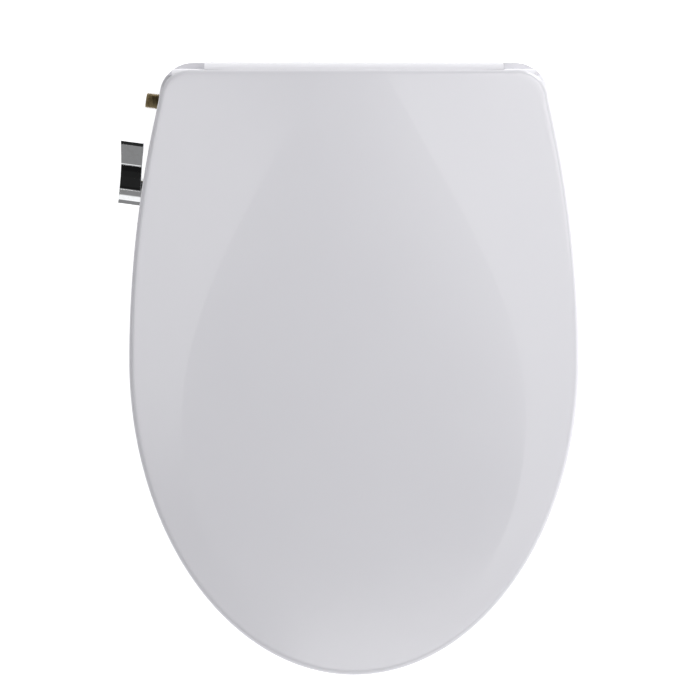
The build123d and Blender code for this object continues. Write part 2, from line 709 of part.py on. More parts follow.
latch_spring_r = 4.3
latch_spring_turns = 6
spring_wire_r = 0.4
latch_axis = Plane(
    origin=(spring_rib_x[1] + 0.6, sum(latch_y) / 2, sum(latch_bar_z) / 2),
    x_dir=(0, 1, 0),
    z_dir=(1, 0, 0),
)
latch_spring_room = button_inner_x - spring_rib_x[1] - 1.2
latch_spring = coil(latch_axis, latch_spring_room, latch_spring_r, spring_wire_r, latch_spring_turns)
latch_spring.label = "latch_spring"
export_step(latch_spring, "parts/latch_spring.step")

# ---------------------------------------------------------------- valve, lever and inlet
outlet_ports = ((-5.0, -2.0), (4.0, 4.0))
inlet_port_along = -26.0
inlet_port_reach = 18.0
port_boss_r = 4.5
spindle_inner = -21.0
port_plane = Plane(
    origin=valve_plane.offset(inlet_port_along).origin,
    x_dir=(0, 0, 1),
    z_dir=-valve_plane.x_dir,
)

with BuildPart() as valve_body:
    drum(valve_plane, valve_inner, -base_wall - 0.1, valve_r)
    drum(valve_plane, -base_wall - 0.1, 1, nose_r)
    drum(port_plane, 0, valve_r + 2, port_boss_r)
    drum(port_plane, 0, inlet_port_reach, barb_r)
    for port in outlet_ports:
        drum(valve_plane, valve_inner - 9, valve_inner + 1, barb_r, centre=port)
    drum(valve_plane, spindle_inner - 1, 2, spindle_r + close_gap, mode=Mode.SUBTRACT)
valve_body.part.label = "valve_body"
export_step(valve_body.part, "parts/valve_body.step")

with BuildPart() as valve_collar:
    drum(valve_plane, close_gap, collar_thickness, collar_r)
    fillet(valve_collar.faces().sort_by(Axis.X)[0].edges(), 1)
    drum(valve_plane, 0, collar_thickness + 1, nose_r + close_gap, mode=Mode.SUBTRACT)
valve_collar.part.label = "valve_collar"
export_step(valve_collar.part, "parts/valve_collar.step")

spindle_out = lever_span[0] + 11
with BuildPart() as valve_spindle:
    drum(valve_plane, spindle_inner, spindle_out, spindle_r)
valve_spindle.part.label = "valve_spindle"
export_step(valve_spindle.part, "parts/valve_spindle.step")

lever_lift = 18.0
grub_plane = Plane(origin=valve_plane.offset(lever_span[0] + 6).origin, z_dir=(0, 0, -1))
grub_r = 1.5
grub_length = 5.0
neck = lever_neck_reach
lever_width = lever_span[1] - lever_span[0]
with BuildPart() as lever:
    with BuildSketch(valve_plane.offset(lever_span[0])) as side_view:
        Circle(lever_hub_r)
        with BuildLine():
            brow = (-9.0, 7.0)
            dip = (-neck, neck * tan(radians(lever_lift)) - 1.2)
            tip_top = (-lever_reach, lever_reach * tan(radians(lever_lift)) - 1.0)
            tip_low = (-lever_reach - 0.6, tip_top[1] - 2.6)
            belly = (-neck, dip[1] - 6.4)
            heel = (-6.0, -9.6)
            RadiusArc(brow, dip, 24)
            Polyline(dip, tip_top, tip_low, belly)
            RadiusArc(belly, heel, -40)
            Polyline(heel, (0, 0), brow)
        make_face()
    extrude(side_view.sketch, amount=lever_width)
    top_plane = Plane(
        origin=valve_plane.offset(lever_span[0]).origin,
        x_dir=-valve_plane.x_dir,
        z_dir=valve_plane.y_dir,
    )
    trim = (lever_width - lever_neck_width) / 2
    with BuildSketch(top_plane) as plan_view:
        with BuildLine():
            near = (-lever_hub_r - 1, 0)
            Polyline((0, 0), near, (near[0], lever_width), (0, lever_width))
            beyond = lever_reach + 2
            ThreePointArc((0, lever_width), (neck - 2, lever_width - trim), (beyond, lever_width))
            Line((beyond, lever_width), (beyond, 0))
            ThreePointArc((beyond, 0), (neck - 2, trim), (0, 0))
        make_face()
    extrude(plan_view.sketch, amount=60, both=True, mode=Mode.INTERSECT)
    fillet(lever.faces().sort_by(Axis.Y)[-1].edges(), 1.0)
    drum(valve_plane, lever_span[0] - 1, spindle_out + 0.3, spindle_r + close_gap, mode=Mode.SUBTRACT)
    drum(grub_plane, 0, lever_hub_r + 1, grub_r + screw_clear, mode=Mode.SUBTRACT)
lever.part.label = "lever"
export_step(lever.part, "parts/lever.step")

with BuildPart() as lever_screw:
    drum(grub_plane, spindle_r + close_gap, spindle_r + close_gap + grub_length, grub_r)
lever_screw.part.label = "lever_screw"
export_step(lever_screw.part, "parts/lever_screw.step")

inlet_chamfer = 0.8
inlet_flange_r = 9.0
inlet_nut_inner = -6.0
inlet_shank_inner = -14.0
inlet_shank_r = 5.0
inlet_barb_end = -24.0
barb_bore_r = 1.2
with BuildPart() as inlet_fitting:
    drum(inlet_plane, -base_wall - 0.1, inlet_neck[0], inlet_neck[1])
    drum(inlet_plane, inlet_neck[0], inlet_length, inlet_r)
    chamfer(inlet_fitting.faces().sort_by(Axis.X)[0].edges(), inlet_chamfer)
    with BuildSketch(inlet_plane.offset(inlet_nut_inner)) as nut:
        RegularPolygon(inlet_flange_r, 6)
    extrude(nut.sketch, amount=-inlet_nut_inner - base_wall - 0.1)
    drum(inlet_plane, inlet_shank_inner, inlet_nut_inner, inlet_shank_r)
    drum(inlet_plane, inlet_barb_end, inlet_shank_inner, barb_r)
    drum(inlet_plane, inlet_nut_inner + 1, inlet_length + 1, inlet_bore_r, mode=Mode.SUBTRACT)
    drum(inlet_plane, inlet_barb_end - 1, 0, barb_bore_r, mode=Mode.SUBTRACT)
inlet_fitting.part.label = "inlet_fitting"
export_step(inlet_fitting.part, "parts/inlet_fitting.step")

with BuildPart() as inlet_filter:
    drum(inlet_plane, 1, 7.5, inlet_bore_r - 0.1)
    drum(inlet_plane, 2, 8, inlet_bore_r - 1, mode=Mode.SUBTRACT)
inlet_filter.part.label = "inlet_filter"
export_step(inlet_filter.part, "parts/inlet_filter.step")

saddle_inner = -12.5
saddle_thickness = 5.0
with BuildPart() as inlet_bracket:
    with BuildSketch(inlet_plane.offset(saddle_inner)) as saddle:
        with Locations((0, tray_floor_top - inlet_z)):
            Rectangle(18, inlet_z - tray_floor_top + 8, align=(Align.CENTER, Align.MIN))
    extrude(saddle.sketch, amount=saddle_thickness)
    drum(inlet_plane, saddle_inner - 1, 0, inlet_shank_r + close_gap, mode=Mode.SUBTRACT)
inlet_bracket.part.label = "inlet_bracket"
export_step(inlet_bracket.part, "parts/inlet_bracket.step")

# ---------------------------------------------------------------- spray nozzles and their cartridge
manifold_span = (barrel_span[1], barrel_span[1] + 4)
manifold_half = (nozzle_x + barrel_r + 2, barrel_r + 1)
bracket_y = (-30.0, -22.0)
cartridge_screw_x = 27.0
wing_top_z = tray_roof_top + 2.5
manifold_ports = (("rear", -5.0), ("front", 5.0))
port_length = 8.0

with BuildPart() as nozzle_cartridge:
    for x in (-nozzle_x, nozzle_x):
        nozzle_drum(x, *barrel_span, barrel_r)
    with BuildSketch(nozzle_plane(0, manifold_span[0])) as manifold:
        RectangleRounded(2 * manifold_half[0], 2 * manifold_half[1], 4)
    extrude(manifold.sketch, amount=manifold_span[1] - manifold_span[0])
    # Saddle that stands on the channel's roof
    saddle_half = nozzle_x + 6
    wing_half = cartridge_screw_x + 5
    block((-saddle_half, saddle_half), bracket_y, (tray_roof_top, tray_roof_top + 8))
    block((-wing_half, wing_half), bracket_y, (tray_roof_top, wing_top_z))
    for x in (-nozzle_x, nozzle_x):
        nozzle_drum(x, barrel_span[0] - 1, barrel_span[1], barrel_bore_r, mode=Mode.SUBTRACT)
    for x in (-cartridge_screw_x, cartridge_screw_x):
        post(x, sum(bracket_y) / 2, (tray_roof_top - 1, wing_top_z + 0.5), screw_r, mode=Mode.SUBTRACT)
    for _, up in manifold_ports:
        middle = nozzle_plane(0, sum(manifold_span) / 2)
        port = Plane(origin=middle.from_local_coords((0, up, 0)), z_dir=(-1, 0, 0))
        drum(port, manifold_half[0] - 1, manifold_half[0] + port_length, barb_r)
nozzle_cartridge.part.label = "nozzle_cartridge"
export_step(nozzle_cartridge.part, "parts/nozzle_cartridge.step")

with BuildPart() as cartridge_screws:
    for x in (-cartridge_screw_x, cartridge_screw_x):
        post(x, sum(bracket_y) / 2, (wing_top_z, wing_top_z + 2), screw_head_r)
        post(x, sum(bracket_y) / 2, (tray_roof_top, wing_top_z), screw_r)
cartridge_screws.part.label = "cartridge_screws"
export_step(cartridge_screws.part, "parts/cartridge_screws.step")

shield_gap = 0.3
shield_half_width = window_half_width - shield_gap - 0.1
shield_z = (window_z[0] + shield_gap, window_z[1] - shield_gap)
with BuildPart() as nozzle_shield:
    block((-shield_half_width, shield_half_width), (base_front_y, base_front_y + base_wall), shield_z)
    for x in (-nozzle_x, nozzle_x):
        nozzle_drum(x, -5, 10, nozzle_r + 0.4, mode=Mode.SUBTRACT)
nozzle_shield.part.label = "nozzle_shield"
export_step(nozzle_shield.part, "parts/nozzle_shield.step")

with BuildPart() as barrel_glands:
    for x in (-nozzle_x, nozzle_x):
        nozzle_drum(x, barrel_span[0], barrel_span[0] + gland_length, barrel_bore_r)
        nozzle_drum(x, barrel_span[0] - 2, barrel_span[0], barrel_r)
        nozzle_drum(x, 0, 30, nozzle_r + running_gap, mode=Mode.SUBTRACT)
barrel_glands.part.label = "barrel_glands"
export_step(barrel_glands.part, "parts/barrel_glands.step")

# The washing nozzle is on -X and the front-wash nozzle on +X; their jets differ
nozzle_kinds = (("rear", -nozzle_x, (5.0,)), ("front", nozzle_x, (4.0, 6.5, 9.0)))
nozzle_wall = 1.5
waterway_r = nozzle_r - nozzle_wall
jet_r = 0.6
nozzle_spring_r = nozzle_r + spring_room / 2
nozzle_spring_turns = 11
for name, x, jets in nozzle_kinds:
    with BuildPart() as tip:
        nozzle_drum(x, 0.5, nozzle_tip_length, nozzle_r)
        fillet(tip.faces().sort_by(Axis.Y)[0].edges(), 2)
        nozzle_drum(x, 3, nozzle_tip_length + 1, waterway_r, mode=Mode.SUBTRACT)
        for back in jets:
            across = nozzle_plane(x, back)
            upward = Plane(origin=across.origin, z_dir=across.y_dir)
            drum(upward, 0, nozzle_r + 1, jet_r, mode=Mode.SUBTRACT)
    tip.part.label = f"{name}_nozzle_tip"
    export_step(tip.part, f"parts/{name}_nozzle_tip.step")

    piston_at = nozzle_length - piston_length
    with BuildPart() as stem:
        nozzle_drum(x, nozzle_tip_length, nozzle_length, nozzle_r)
        nozzle_drum(x, nozzle_tip_length - 1, nozzle_length + 1, waterway_r, mode=Mode.SUBTRACT)
    stem.part.label = f"{name}_nozzle_tube"
    export_step(stem.part, f"parts/{name}_nozzle_tube.step")

    with BuildPart() as piston:
        nozzle_drum(x, piston_at, nozzle_length, piston_r)
        nozzle_drum(x, piston_at - 1, nozzle_length + 1, nozzle_r, mode=Mode.SUBTRACT)
    piston.part.label = f"{name}_nozzle_piston"
    export_step(piston.part, f"parts/{name}_nozzle_piston.step")

    spring_start = barrel_span[0] + gland_length + 0.6
    spring_length = piston_at - spring_start - 0.6
    nozzle_spring = coil(
        nozzle_plane(x, spring_start), spring_length, nozzle_spring_r, spring_wire_r, nozzle_spring_turns
    )
    nozzle_spring.label = f"{name}_nozzle_spring"
    export_step(nozzle_spring, f"parts/{name}_nozzle_spring.step")

# ---------------------------------------------------------------- soft-close dampers
for name, side in (("lid", -1), ("seat", 1)):
    with BuildPart() as damper:
        hinge_drum(side * damper_in_x, side * damper_out_x, damper_r)
        shaft_end = side * (damper_in_x + damper_shaft_depth + 1)
        hinge_drum(side * (damper_in_x - 1), shaft_end, damper_shaft_r + running_gap, mode=Mode.SUBTRACT)
    damper.part.label = f"{name}_damper"
    export_step(damper.part, f"parts/{name}_damper.step")

# ---------------------------------------------------------------- hoses inside the base
supply_lead = (18.0, 14.0)      # straight runs off the inlet's barb and into the valve's port
supply_turn = Vector(-131.5, -16.0, inlet_z)
supply_bends = [10, 16, 14]
inlet_end = inlet_plane.from_local_coords((0, 0, inlet_shank_inner - 0.5))
valve_in = port_plane.from_local_coords((0, 0, valve_r + 2.3))
inward = -inlet_plane.z_dir
supply_route = [
    inlet_end,
    inlet_end + inward * supply_lead[0],
    supply_turn,
    valve_in + port_plane.z_dir * supply_lead[1],
    valve_in,
]
inlet_hose = hose(supply_route, supply_bends)
inlet_hose.label = "inlet_hose"
export_step(inlet_hose, "parts/inlet_hose.step")

# From the valve's two outlets over the channel's roof to the manifold, side by side
manifold_mid = nozzle_plane(0, sum(manifold_span) / 2)
hump_run = {"rear": (-100.0, 19.5, -60.0), "front": (-92.0, 21.0, -44.0)}
wash_lead = 20.0
wash_shift = 12.0
wash_bends = [12, 12, 8, 6]
hose_end_gap = 0.4
for (name, up), port in zip(manifold_ports, outlet_ports):
    start = valve_plane.from_local_coords((*port, valve_inner - hose_end_gap))
    manifold_side = Vector(-manifold_half[0] - hose_end_gap, 0, 0)
    finish = manifold_mid.from_local_coords((0, up, 0)) + manifold_side
    turn_x, run_z, rise_x = hump_run[name]
    outlet_route = [
        start,
        start + inward * wash_lead,
        Vector(turn_x, start.Y + wash_shift, run_z),
        Vector(rise_x, finish.Y - wash_shift, run_z + 2),
        Vector(rise_x + 6, finish.Y, finish.Z),
        finish,
    ]
    wash_hose = hose(outlet_route, wash_bends)
    wash_hose.label = f"{name}_wash_hose"
    export_step(wash_hose, f"parts/{name}_wash_hose.step")
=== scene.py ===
# %% [markdown]
# A bidet seat is an ordinary lidded toilet seat with a slim washing unit built in behind it.
# This lesson dresses its measured frame: glossy white moulded plastic, a chrome-plated lever,
# a brass water inlet, rubber feet, steel springs. The frame arrives finished and in metres, so
# every size below is read from it or is a size of the real article.

# %% Load the frame
import json
import math

import bpy
import numpy as np
from mathutils import Matrix, Vector


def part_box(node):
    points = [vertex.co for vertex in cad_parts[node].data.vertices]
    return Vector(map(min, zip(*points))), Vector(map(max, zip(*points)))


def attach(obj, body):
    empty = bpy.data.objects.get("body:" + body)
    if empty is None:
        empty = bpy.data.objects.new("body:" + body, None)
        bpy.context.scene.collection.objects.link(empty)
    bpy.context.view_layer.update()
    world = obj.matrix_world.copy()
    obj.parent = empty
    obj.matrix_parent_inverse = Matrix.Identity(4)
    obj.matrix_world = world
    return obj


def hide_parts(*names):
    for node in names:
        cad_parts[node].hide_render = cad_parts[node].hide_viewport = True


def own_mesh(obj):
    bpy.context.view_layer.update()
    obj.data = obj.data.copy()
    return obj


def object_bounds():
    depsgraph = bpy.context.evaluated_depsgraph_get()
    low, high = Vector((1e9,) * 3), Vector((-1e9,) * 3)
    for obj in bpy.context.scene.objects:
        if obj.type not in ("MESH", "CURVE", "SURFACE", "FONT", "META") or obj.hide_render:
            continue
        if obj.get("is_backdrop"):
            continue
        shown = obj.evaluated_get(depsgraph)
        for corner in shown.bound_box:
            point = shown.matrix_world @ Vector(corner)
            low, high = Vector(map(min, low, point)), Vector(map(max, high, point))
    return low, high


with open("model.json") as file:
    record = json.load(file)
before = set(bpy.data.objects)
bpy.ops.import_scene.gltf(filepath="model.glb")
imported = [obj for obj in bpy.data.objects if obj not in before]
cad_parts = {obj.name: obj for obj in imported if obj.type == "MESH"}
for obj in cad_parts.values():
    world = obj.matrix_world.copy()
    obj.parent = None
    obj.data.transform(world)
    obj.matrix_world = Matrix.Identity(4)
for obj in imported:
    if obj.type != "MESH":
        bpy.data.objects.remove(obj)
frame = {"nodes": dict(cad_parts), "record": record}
frame_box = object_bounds()
mm = 0.001
print("pieces in the frame:", len(frame["nodes"]))
print("overall size, mm:", [round(v / mm, 1) for v in frame_box[1] - frame_box[0]])

# %% [markdown]
# Node trees are easier to read as sums than as boxes and wires. A small class wraps one
# output of a node, and ordinary arithmetic on it adds the Math nodes. The same class serves
# the finishes and the geometry trees, because both use the same Math node.

# %% Arithmetic on node outputs
class Wire:
    """One output of a node, in a tree that is being built."""

    def __init__(self, maker, socket):
        self.maker, self.socket = maker, socket

    def __add__(self, other):
        return self.maker.maths("ADD", self, other)

    def __sub__(self, other):
        return self.maker.maths("SUBTRACT", self, other)

    def __rsub__(self, other):
        return self.maker.maths("SUBTRACT", other, self)

    def __mul__(self, other):
        return self.maker.maths("MULTIPLY", self, other)

    def __truediv__(self, other):
        return self.maker.maths("DIVIDE", self, other)

    def __rtruediv__(self, other):
        return self.maker.maths("DIVIDE", other, self)

    def __pow__(self, other):
        return self.maker.maths("POWER", self, other)

    __radd__ = __add__
    __rmul__ = __mul__


class Maker:
    """Adds nodes to one tree. Settings are made first, then values or wires go in."""

    def __init__(self, tree):
        self.tree = tree

    def node(self, kind, settings=None, sockets=None, output=0):
        made = self.tree.nodes.new(kind)
        for key, value in (settings or {}).items():
            if key == "stops":
                for place, (position, shade) in enumerate(value):
                    points = made.color_ramp.elements
                    point = points[place] if place < 2 else points.new(position)
                    point.position, point.color = position, shade
            else:
                setattr(made, key, value)
        for key, value in (sockets or {}).items():
            socket = made.inputs[key] if isinstance(key, int) else self.open_socket(made, key)
            if isinstance(value, Wire):
                self.tree.links.new(value.socket, socket)
            else:
                socket.default_value = value
        live = [s for s in made.outputs if s.enabled]
        return Wire(self, live[output] if isinstance(output, int) else made.outputs[output])

    @staticmethod
    def open_socket(made, name):
        return next(s for s in made.inputs if s.enabled and s.name == name)

    def maths(self, operation, *values):
        return self.node("ShaderNodeMath", {"operation": operation}, dict(enumerate(values)))

    def vectors(self, operation, *values, output=0):
        return self.node("ShaderNodeVectorMath", {"operation": operation}, dict(enumerate(values)), output)

    def smooth(self, value, low, high):
        """0 below low, 1 above high, and an easy curve between."""
        return self.node(
            "ShaderNodeMapRange",
            {"interpolation_type": "SMOOTHSTEP"},
            {"Value": value, "From Min": low, "From Max": high},
        )


print("arithmetic ready")

# %% [markdown]
# A finish is a material built from the piece's own place in space, so that a pattern stays
# put on the piece however it moves. Colours go through Mix nodes. Speckle at three sizes is
# all that most finishes need: broad (uneven colour), middle (wiped streaks) and fine (grain).

# %% A material being built
class Finish(Maker):
    """A procedural material with one Principled shader."""

    def __init__(self, name, colour, roughness, **constants):
        self.material = bpy.data.materials.new(name)
        self.material.use_nodes = True
        super().__init__(self.material.node_tree)
        self.shader = next(n for n in self.tree.nodes if n.type == "BSDF_PRINCIPLED")
        self.place = self.node("ShaderNodeTexCoord", output="Object")
        self.set("Base Color", (*colour, 1))
        self.set("Roughness", roughness)
        for key, value in constants.items():
            self.set(key.replace("_", " "), value)

    def set(self, name, value):
        socket = self.shader.inputs[name]
        if isinstance(value, Wire):
            self.tree.links.new(value.socket, socket)
        else:
            socket.default_value = value

    def speckle(self, size, detail=2.0, place=None, stretch=(1, 1, 1)):
        """Soft random patches about size metres across, from 0 to 1."""
        spot = place or self.place
        if stretch != (1, 1, 1):
            spot = self.vectors("MULTIPLY", spot, stretch)
        return self.node("ShaderNodeTexNoise", {}, {"Vector": spot, "Scale": 1 / size, "Detail": detail})

    def blend(self, share, first, second):
        first = first if isinstance(first, Wire) else (*first, 1)
        second = second if isinstance(second, Wire) else (*second, 1)
        return self.node(
            "ShaderNodeMix", {"data_type": "RGBA"}, {"Factor": share, "A": first, "B": second}
        )

    def relief(self, *layers):
        """Bump from pairs of height wire and depth in metres."""
        height = sum((wire * depth for wire, depth in layers), 0 * layers[0][0])
        self.set("Normal", self.node("ShaderNodeBump", {}, {"Height": height, "Distance": 1.0}))


finishes = {}
print("finish maker ready")

# %% [markdown]
# Lid, seat and housing are moulded in a glossy white thermoplastic. A polished mould still
# leaves a faint orange peel, and cleaning leaves areas a little duller than their
# neighbours. Both are kept very slight, or the plastic would look dirty. The white leans a
# little to violet, as brighteners in the resin make it.

# %% White and grey plastics
def moulded(name, colour, dull, gloss, peel, grain, coat=0.0):
    finish = Finish(name, colour, gloss)
    patches = finish.speckle(70 * mm, 3)
    wiped = finish.speckle(14 * mm, 4, stretch=(1, 0.3, 1))
    finish.set("Base Color", finish.blend(patches, dull, colour))
    finish.set("Roughness", gloss + 0.05 * wiped + 0.03 * patches)
    finish.relief((finish.speckle(5 * mm, 1), peel), (finish.speckle(0.45 * mm, 2), grain))
    finish.shader.inputs["Coat Weight"].default_value = coat
    return finish.material


plastics = {
    "gloss_white": ("gloss_white_plastic", (0.77, 0.765, 0.80), (0.755, 0.75, 0.787), 0.12, 3e-6, 2e-7),
    "matte_white": ("satin_white_plastic", (0.72, 0.72, 0.71), (0.69, 0.69, 0.68), 0.42, 2e-5, 1e-5),
    "grey_plastic": ("satin_grey_plastic", (0.33, 0.335, 0.35), (0.30, 0.305, 0.32), 0.45, 2e-5, 1.2e-5),
}
for slot, recipe in plastics.items():
    finishes[slot] = moulded(*recipe)
print("plastics:", sorted(finishes))

# %% [markdown]
# The feet and the mat are a soft pale elastomer, matt and faintly dusty. The seals inside
# the nozzle barrels are black rubber. The hoses are milky tube with a slightly waxy skin.

# %% Rubbers and hose
def elastomer(name, colour, dusty, roughness, grain):
    finish = Finish(name, colour, roughness)
    dust = finish.smooth(finish.speckle(9 * mm, 5), 0.45, 0.75)
    finish.set("Base Color", finish.blend(dust, colour, dusty))
    finish.set("Roughness", roughness + 0.1 * dust)
    finish.relief((finish.speckle(0.6 * mm, 3), grain), (finish.speckle(6 * mm, 2), 3 * grain))
    return finish.material


finishes["soft_rubber"] = elastomer("pale_elastomer", (0.50, 0.51, 0.52), (0.60, 0.60, 0.60), 0.62, 2e-5)
finishes["dark_rubber"] = elastomer("black_rubber", (0.022, 0.022, 0.023), (0.075, 0.073, 0.07), 0.68, 2e-5)
finishes["hose"] = elastomer("milky_hose", (0.66, 0.68, 0.69), (0.72, 0.73, 0.73), 0.34, 1e-5)
print("rubbers ready")

# %% [markdown]
# Chrome plate copies every ripple of the casting under it, so a long soft wave and a few
# dull smears do more for it than any colour. Brass is turned on a lathe and left bare: it
# browns, more so in the roots of a thread. Steel wire and screws are brighter and streaked.

# %% Metals
def metal(name, colour, tarnish, roughness, smear, wave, streak, stretch=(1, 1, 1)):
    finish = Finish(name, colour, roughness, Metallic=1.0)
    stain = finish.smooth(finish.speckle(3.5 * mm, 5), 0.42, 0.72)
    finish.set("Base Color", finish.blend(stain, colour, tarnish))
    finish.set("Roughness", roughness + smear * finish.speckle(8 * mm, 4))
    finish.relief((finish.speckle(12 * mm, 1), wave), (finish.speckle(0.35 * mm, 2, stretch=stretch), streak))
    return finish.material


plate = ("chrome_plate", (0.79, 0.80, 0.80), (0.75, 0.76, 0.75), 0.03, 0.035, 8e-6, 2e-7)
turned_brass = ("turned_brass", (0.33, 0.265, 0.15), (0.20, 0.155, 0.085), 0.34, 0.16, 1e-5, 6e-6)
drawn_steel = ("drawn_steel", (0.58, 0.575, 0.565), (0.50, 0.49, 0.475), 0.22, 0.18, 8e-6, 5e-6)
finishes["chrome"] = metal(*plate)
finishes["brass"] = metal(*turned_brass, stretch=(1, 0.12, 0.12))
finishes["steel"] = metal(*drawn_steel, stretch=(0.15, 1, 1))
print("finishes:", sorted(finishes))

# %% [markdown]
# Every piece of the frame names its material slot, so one loop dresses all of them. A piece
# that is rebuilt further down takes the same finish by the same name.

# %% Dress the frame
slot_of = {part["node"]: part["material_slot"] for part in frame["record"]["subparts"]}


def dress(piece, slot):
    piece.data.materials.clear()
    piece.data.materials.append(finishes[slot])


for name, piece in frame["nodes"].items():
    dress(piece, slot_of[name])
print("dressed:", len(slot_of))

# %% [markdown]
# Pieces made here come from lists of corners and faces. One helper makes the object, smooths
# what is round and gives it its finish, and another lets it ride on a body.

# %% Making a piece
def mesh_of(name, shape):
    mesh = bpy.data.meshes.new(name)
    mesh.from_pydata(shape[0], [], shape[1])
    return mesh


def smoothed(mesh, flat_over=35.0):
    """The mesh, shaded smooth where its faces bend by under flat_over degrees."""
    mesh.shade_smooth()
    mesh.set_sharp_from_angle(angle=math.radians(flat_over))
    return mesh


def new_piece(name, shape, slot, flat_over=35.0):
    """An object from corners and faces, in its finish."""
    piece = bpy.data.objects.new(name, smoothed(mesh_of(name, shape), flat_over))
    bpy.context.scene.collection.objects.link(piece)
    dress(piece, slot)
    return piece


def enrol(piece, body, slot, *stands_for):
    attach(piece, body)
    if stands_for:
        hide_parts(*stands_for)
    return piece


def bands(first, second, count):
    """Faces between two rings of corners that start at the given numbers."""
    return [(first + i, second + i, second + (i + 1) % count, first + (i + 1) % count) for i in range(count)]


def skin(rings, ends="points"):
    """Corners and faces over a list of rings. The skin closes in a point at the middle of its
    first and last ring, in a flat face on each, or as a loop from the last to the first."""
    count = len(rings[0])
    corners = [tuple(c) for ring in rings for c in ring]
    faces = [f for i in range(len(rings) - 1) for f in bands(i * count, (i + 1) * count, count)]
    last = (len(rings) - 1) * count
    if ends == "loop":
        faces += bands(last, 0, count)
    elif ends == "flat":
        faces += [tuple(range(count))[::-1], tuple(range(last, last + count))]
    else:
        start, end = len(corners), len(corners) + 1
        corners += [tuple(np.mean(rings[0], axis=0)), tuple(np.mean(rings[-1], axis=0))]
        faces += [(start, i, (i + 1) % count) for i in range(count)]
        faces += [(last + i, end, last + (i + 1) % count) for i in range(count)]
    return corners, faces


print("piece helpers ready")

# %% [markdown]
# The lid's plan is half an ellipse in front, two long arcs along the flanks and a straight
# rear edge with rounded corners. On its top lies a very shallow teardrop, widest where the
# lid is widest and narrowing to the rear: a raised cosine behind, half an ellipse in front.
# Both half widths are plain rules of the station along the seat.

# %% Plan of the lid
lid_low, lid_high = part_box("lid")
half_width = lid_high.x
tip_y, rear_y = lid_low.y, lid_high.y
widest_y = -206 * mm
flank_radius = 968 * mm
corner_radius = 25 * mm
panel_widest_y = -256 * mm
panel_half_width = 144 * mm
panel_front = 195 * mm
panel_rear = 420 * mm


def flank(y):
    """Half width of the lid at a station, rear corners left square."""
    if y > widest_y:
        return half_width - flank_radius + math.sqrt(flank_radius**2 - (y - widest_y) ** 2)
    return half_width * math.sqrt(max(1 - ((widest_y - y) / (widest_y - tip_y)) ** 2, 0))


def panel(y):
    """Half width of the teardrop at a station."""
    if y > panel_widest_y:
        behind = y - panel_widest_y
        pinch = 5 * mm * (behind / (rear_y - panel_widest_y)) ** 6
        return panel_half_width * (1 + math.cos(math.pi * behind / panel_rear)) / 2 - pinch
    return panel_half_width * math.sqrt(max(1 - ((panel_widest_y - y) / panel_front) ** 2, 0))


def lid_outline():
    """Points round the lid's plan with their outward directions, starting at the tip."""
    lean = math.asin((rear_y - widest_y) / flank_radius)
    corner_x = half_width - flank_radius
    inner = flank_radius - corner_radius
    corner_y = rear_y - corner_radius
    corner_lean = math.asin((corner_y - widest_y) / inner)
    corner_x += inner * math.cos(corner_lean)
    right = []
    reach = widest_y - tip_y
    for turn in np.linspace(-math.pi / 2, 0, 150)[:-1]:
        point = (half_width * math.cos(turn), widest_y + reach * math.sin(turn))
        normal = (math.cos(turn) / half_width, math.sin(turn) / reach)
        right.append((point, normal))
    for turn in np.linspace(0, corner_lean, 110)[:-1]:
        normal = (math.cos(turn), math.sin(turn))
        point = (half_width - flank_radius + flank_radius * normal[0], widest_y + flank_radius * normal[1])
        right.append((point, normal))
    for turn in np.linspace(corner_lean, math.pi / 2, 24):
        normal = (math.cos(turn), math.sin(turn))
        right.append(((corner_x + corner_radius * normal[0], corner_y + corner_radius * normal[1]), normal))
    for x in np.linspace(corner_x, 0, 60)[1:]:
        right.append(((x, rear_y), (0, 1)))
    left = [((-p[0], p[1]), (-n[0], n[1])) for p, n in right[1:-1][::-1]]
    points = np.array([p for p, n in right + left])
    normals = np.array([n for p, n in right + left], float)
    return points, normals / np.linalg.norm(normals, axis=1)[:, None]


outline, outward = lid_outline()
print("corners round the lid:", len(outline), " teardrop at its widest, mm:", 2 * panel(panel_widest_y) / mm)

# %% [markdown]
# The lid is first laid out flat, as rings of corners from the middle of the top, over the
# rounded edge, down the side wall, up inside it and back to the middle of the underside.
# Two rings stand close on each side of the teardrop's edge, so that the crease stays crisp.
# Each corner says how far it follows the dome: fully on the plate, not at all at the foot
# of the walls, which lies parallel to the seat and sweeps up just ahead of the hinge.

# %% Rings of the lid, laid flat
wall = 3 * mm
edge_width, edge_depth = 4.2 * mm, 3.6 * mm
sweep_from, sweep_to = 8.5 * mm, 16.5 * mm
rim_at_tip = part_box("lid")[0].z
rim_rise = math.tan(math.radians(1.96))
centre = np.array([0.0, widest_y])


def spread_to(target, share):
    """A smaller copy of a ring round the lid's centre."""
    return centre + np.reshape(share, (-1, 1)) * (target - centre)


def crease_share(point):
    """How far along the way from the centre to a point the teardrop's edge lies."""
    for share in np.linspace(0.2, 0.97, 309):
        x, y = centre + share * (point - centre)
        if abs(x) > panel(y):
            return share
    return 0.97


edge_line = outline - outward * edge_width
crease = np.array([crease_share(p) for p in edge_line])
crease = np.convolve(np.concatenate([crease[-2:], crease, crease[:2]]), np.ones(5) / 5, "valid")
fine = 0.9 * mm / np.linalg.norm(edge_line - centre, axis=1)
sweep = np.clip((outline[:, 1] - sweep_from) / (sweep_to - sweep_from), 0, 1)
sweep = sweep * sweep * (3 - 2 * sweep)
lid_rings, follows = [], []


def lay(plan, height, follow):
    count = len(outline)
    lid_rings.append(np.column_stack([plan, np.broadcast_to(height, count)]))
    follows.append(np.broadcast_to(follow, count))


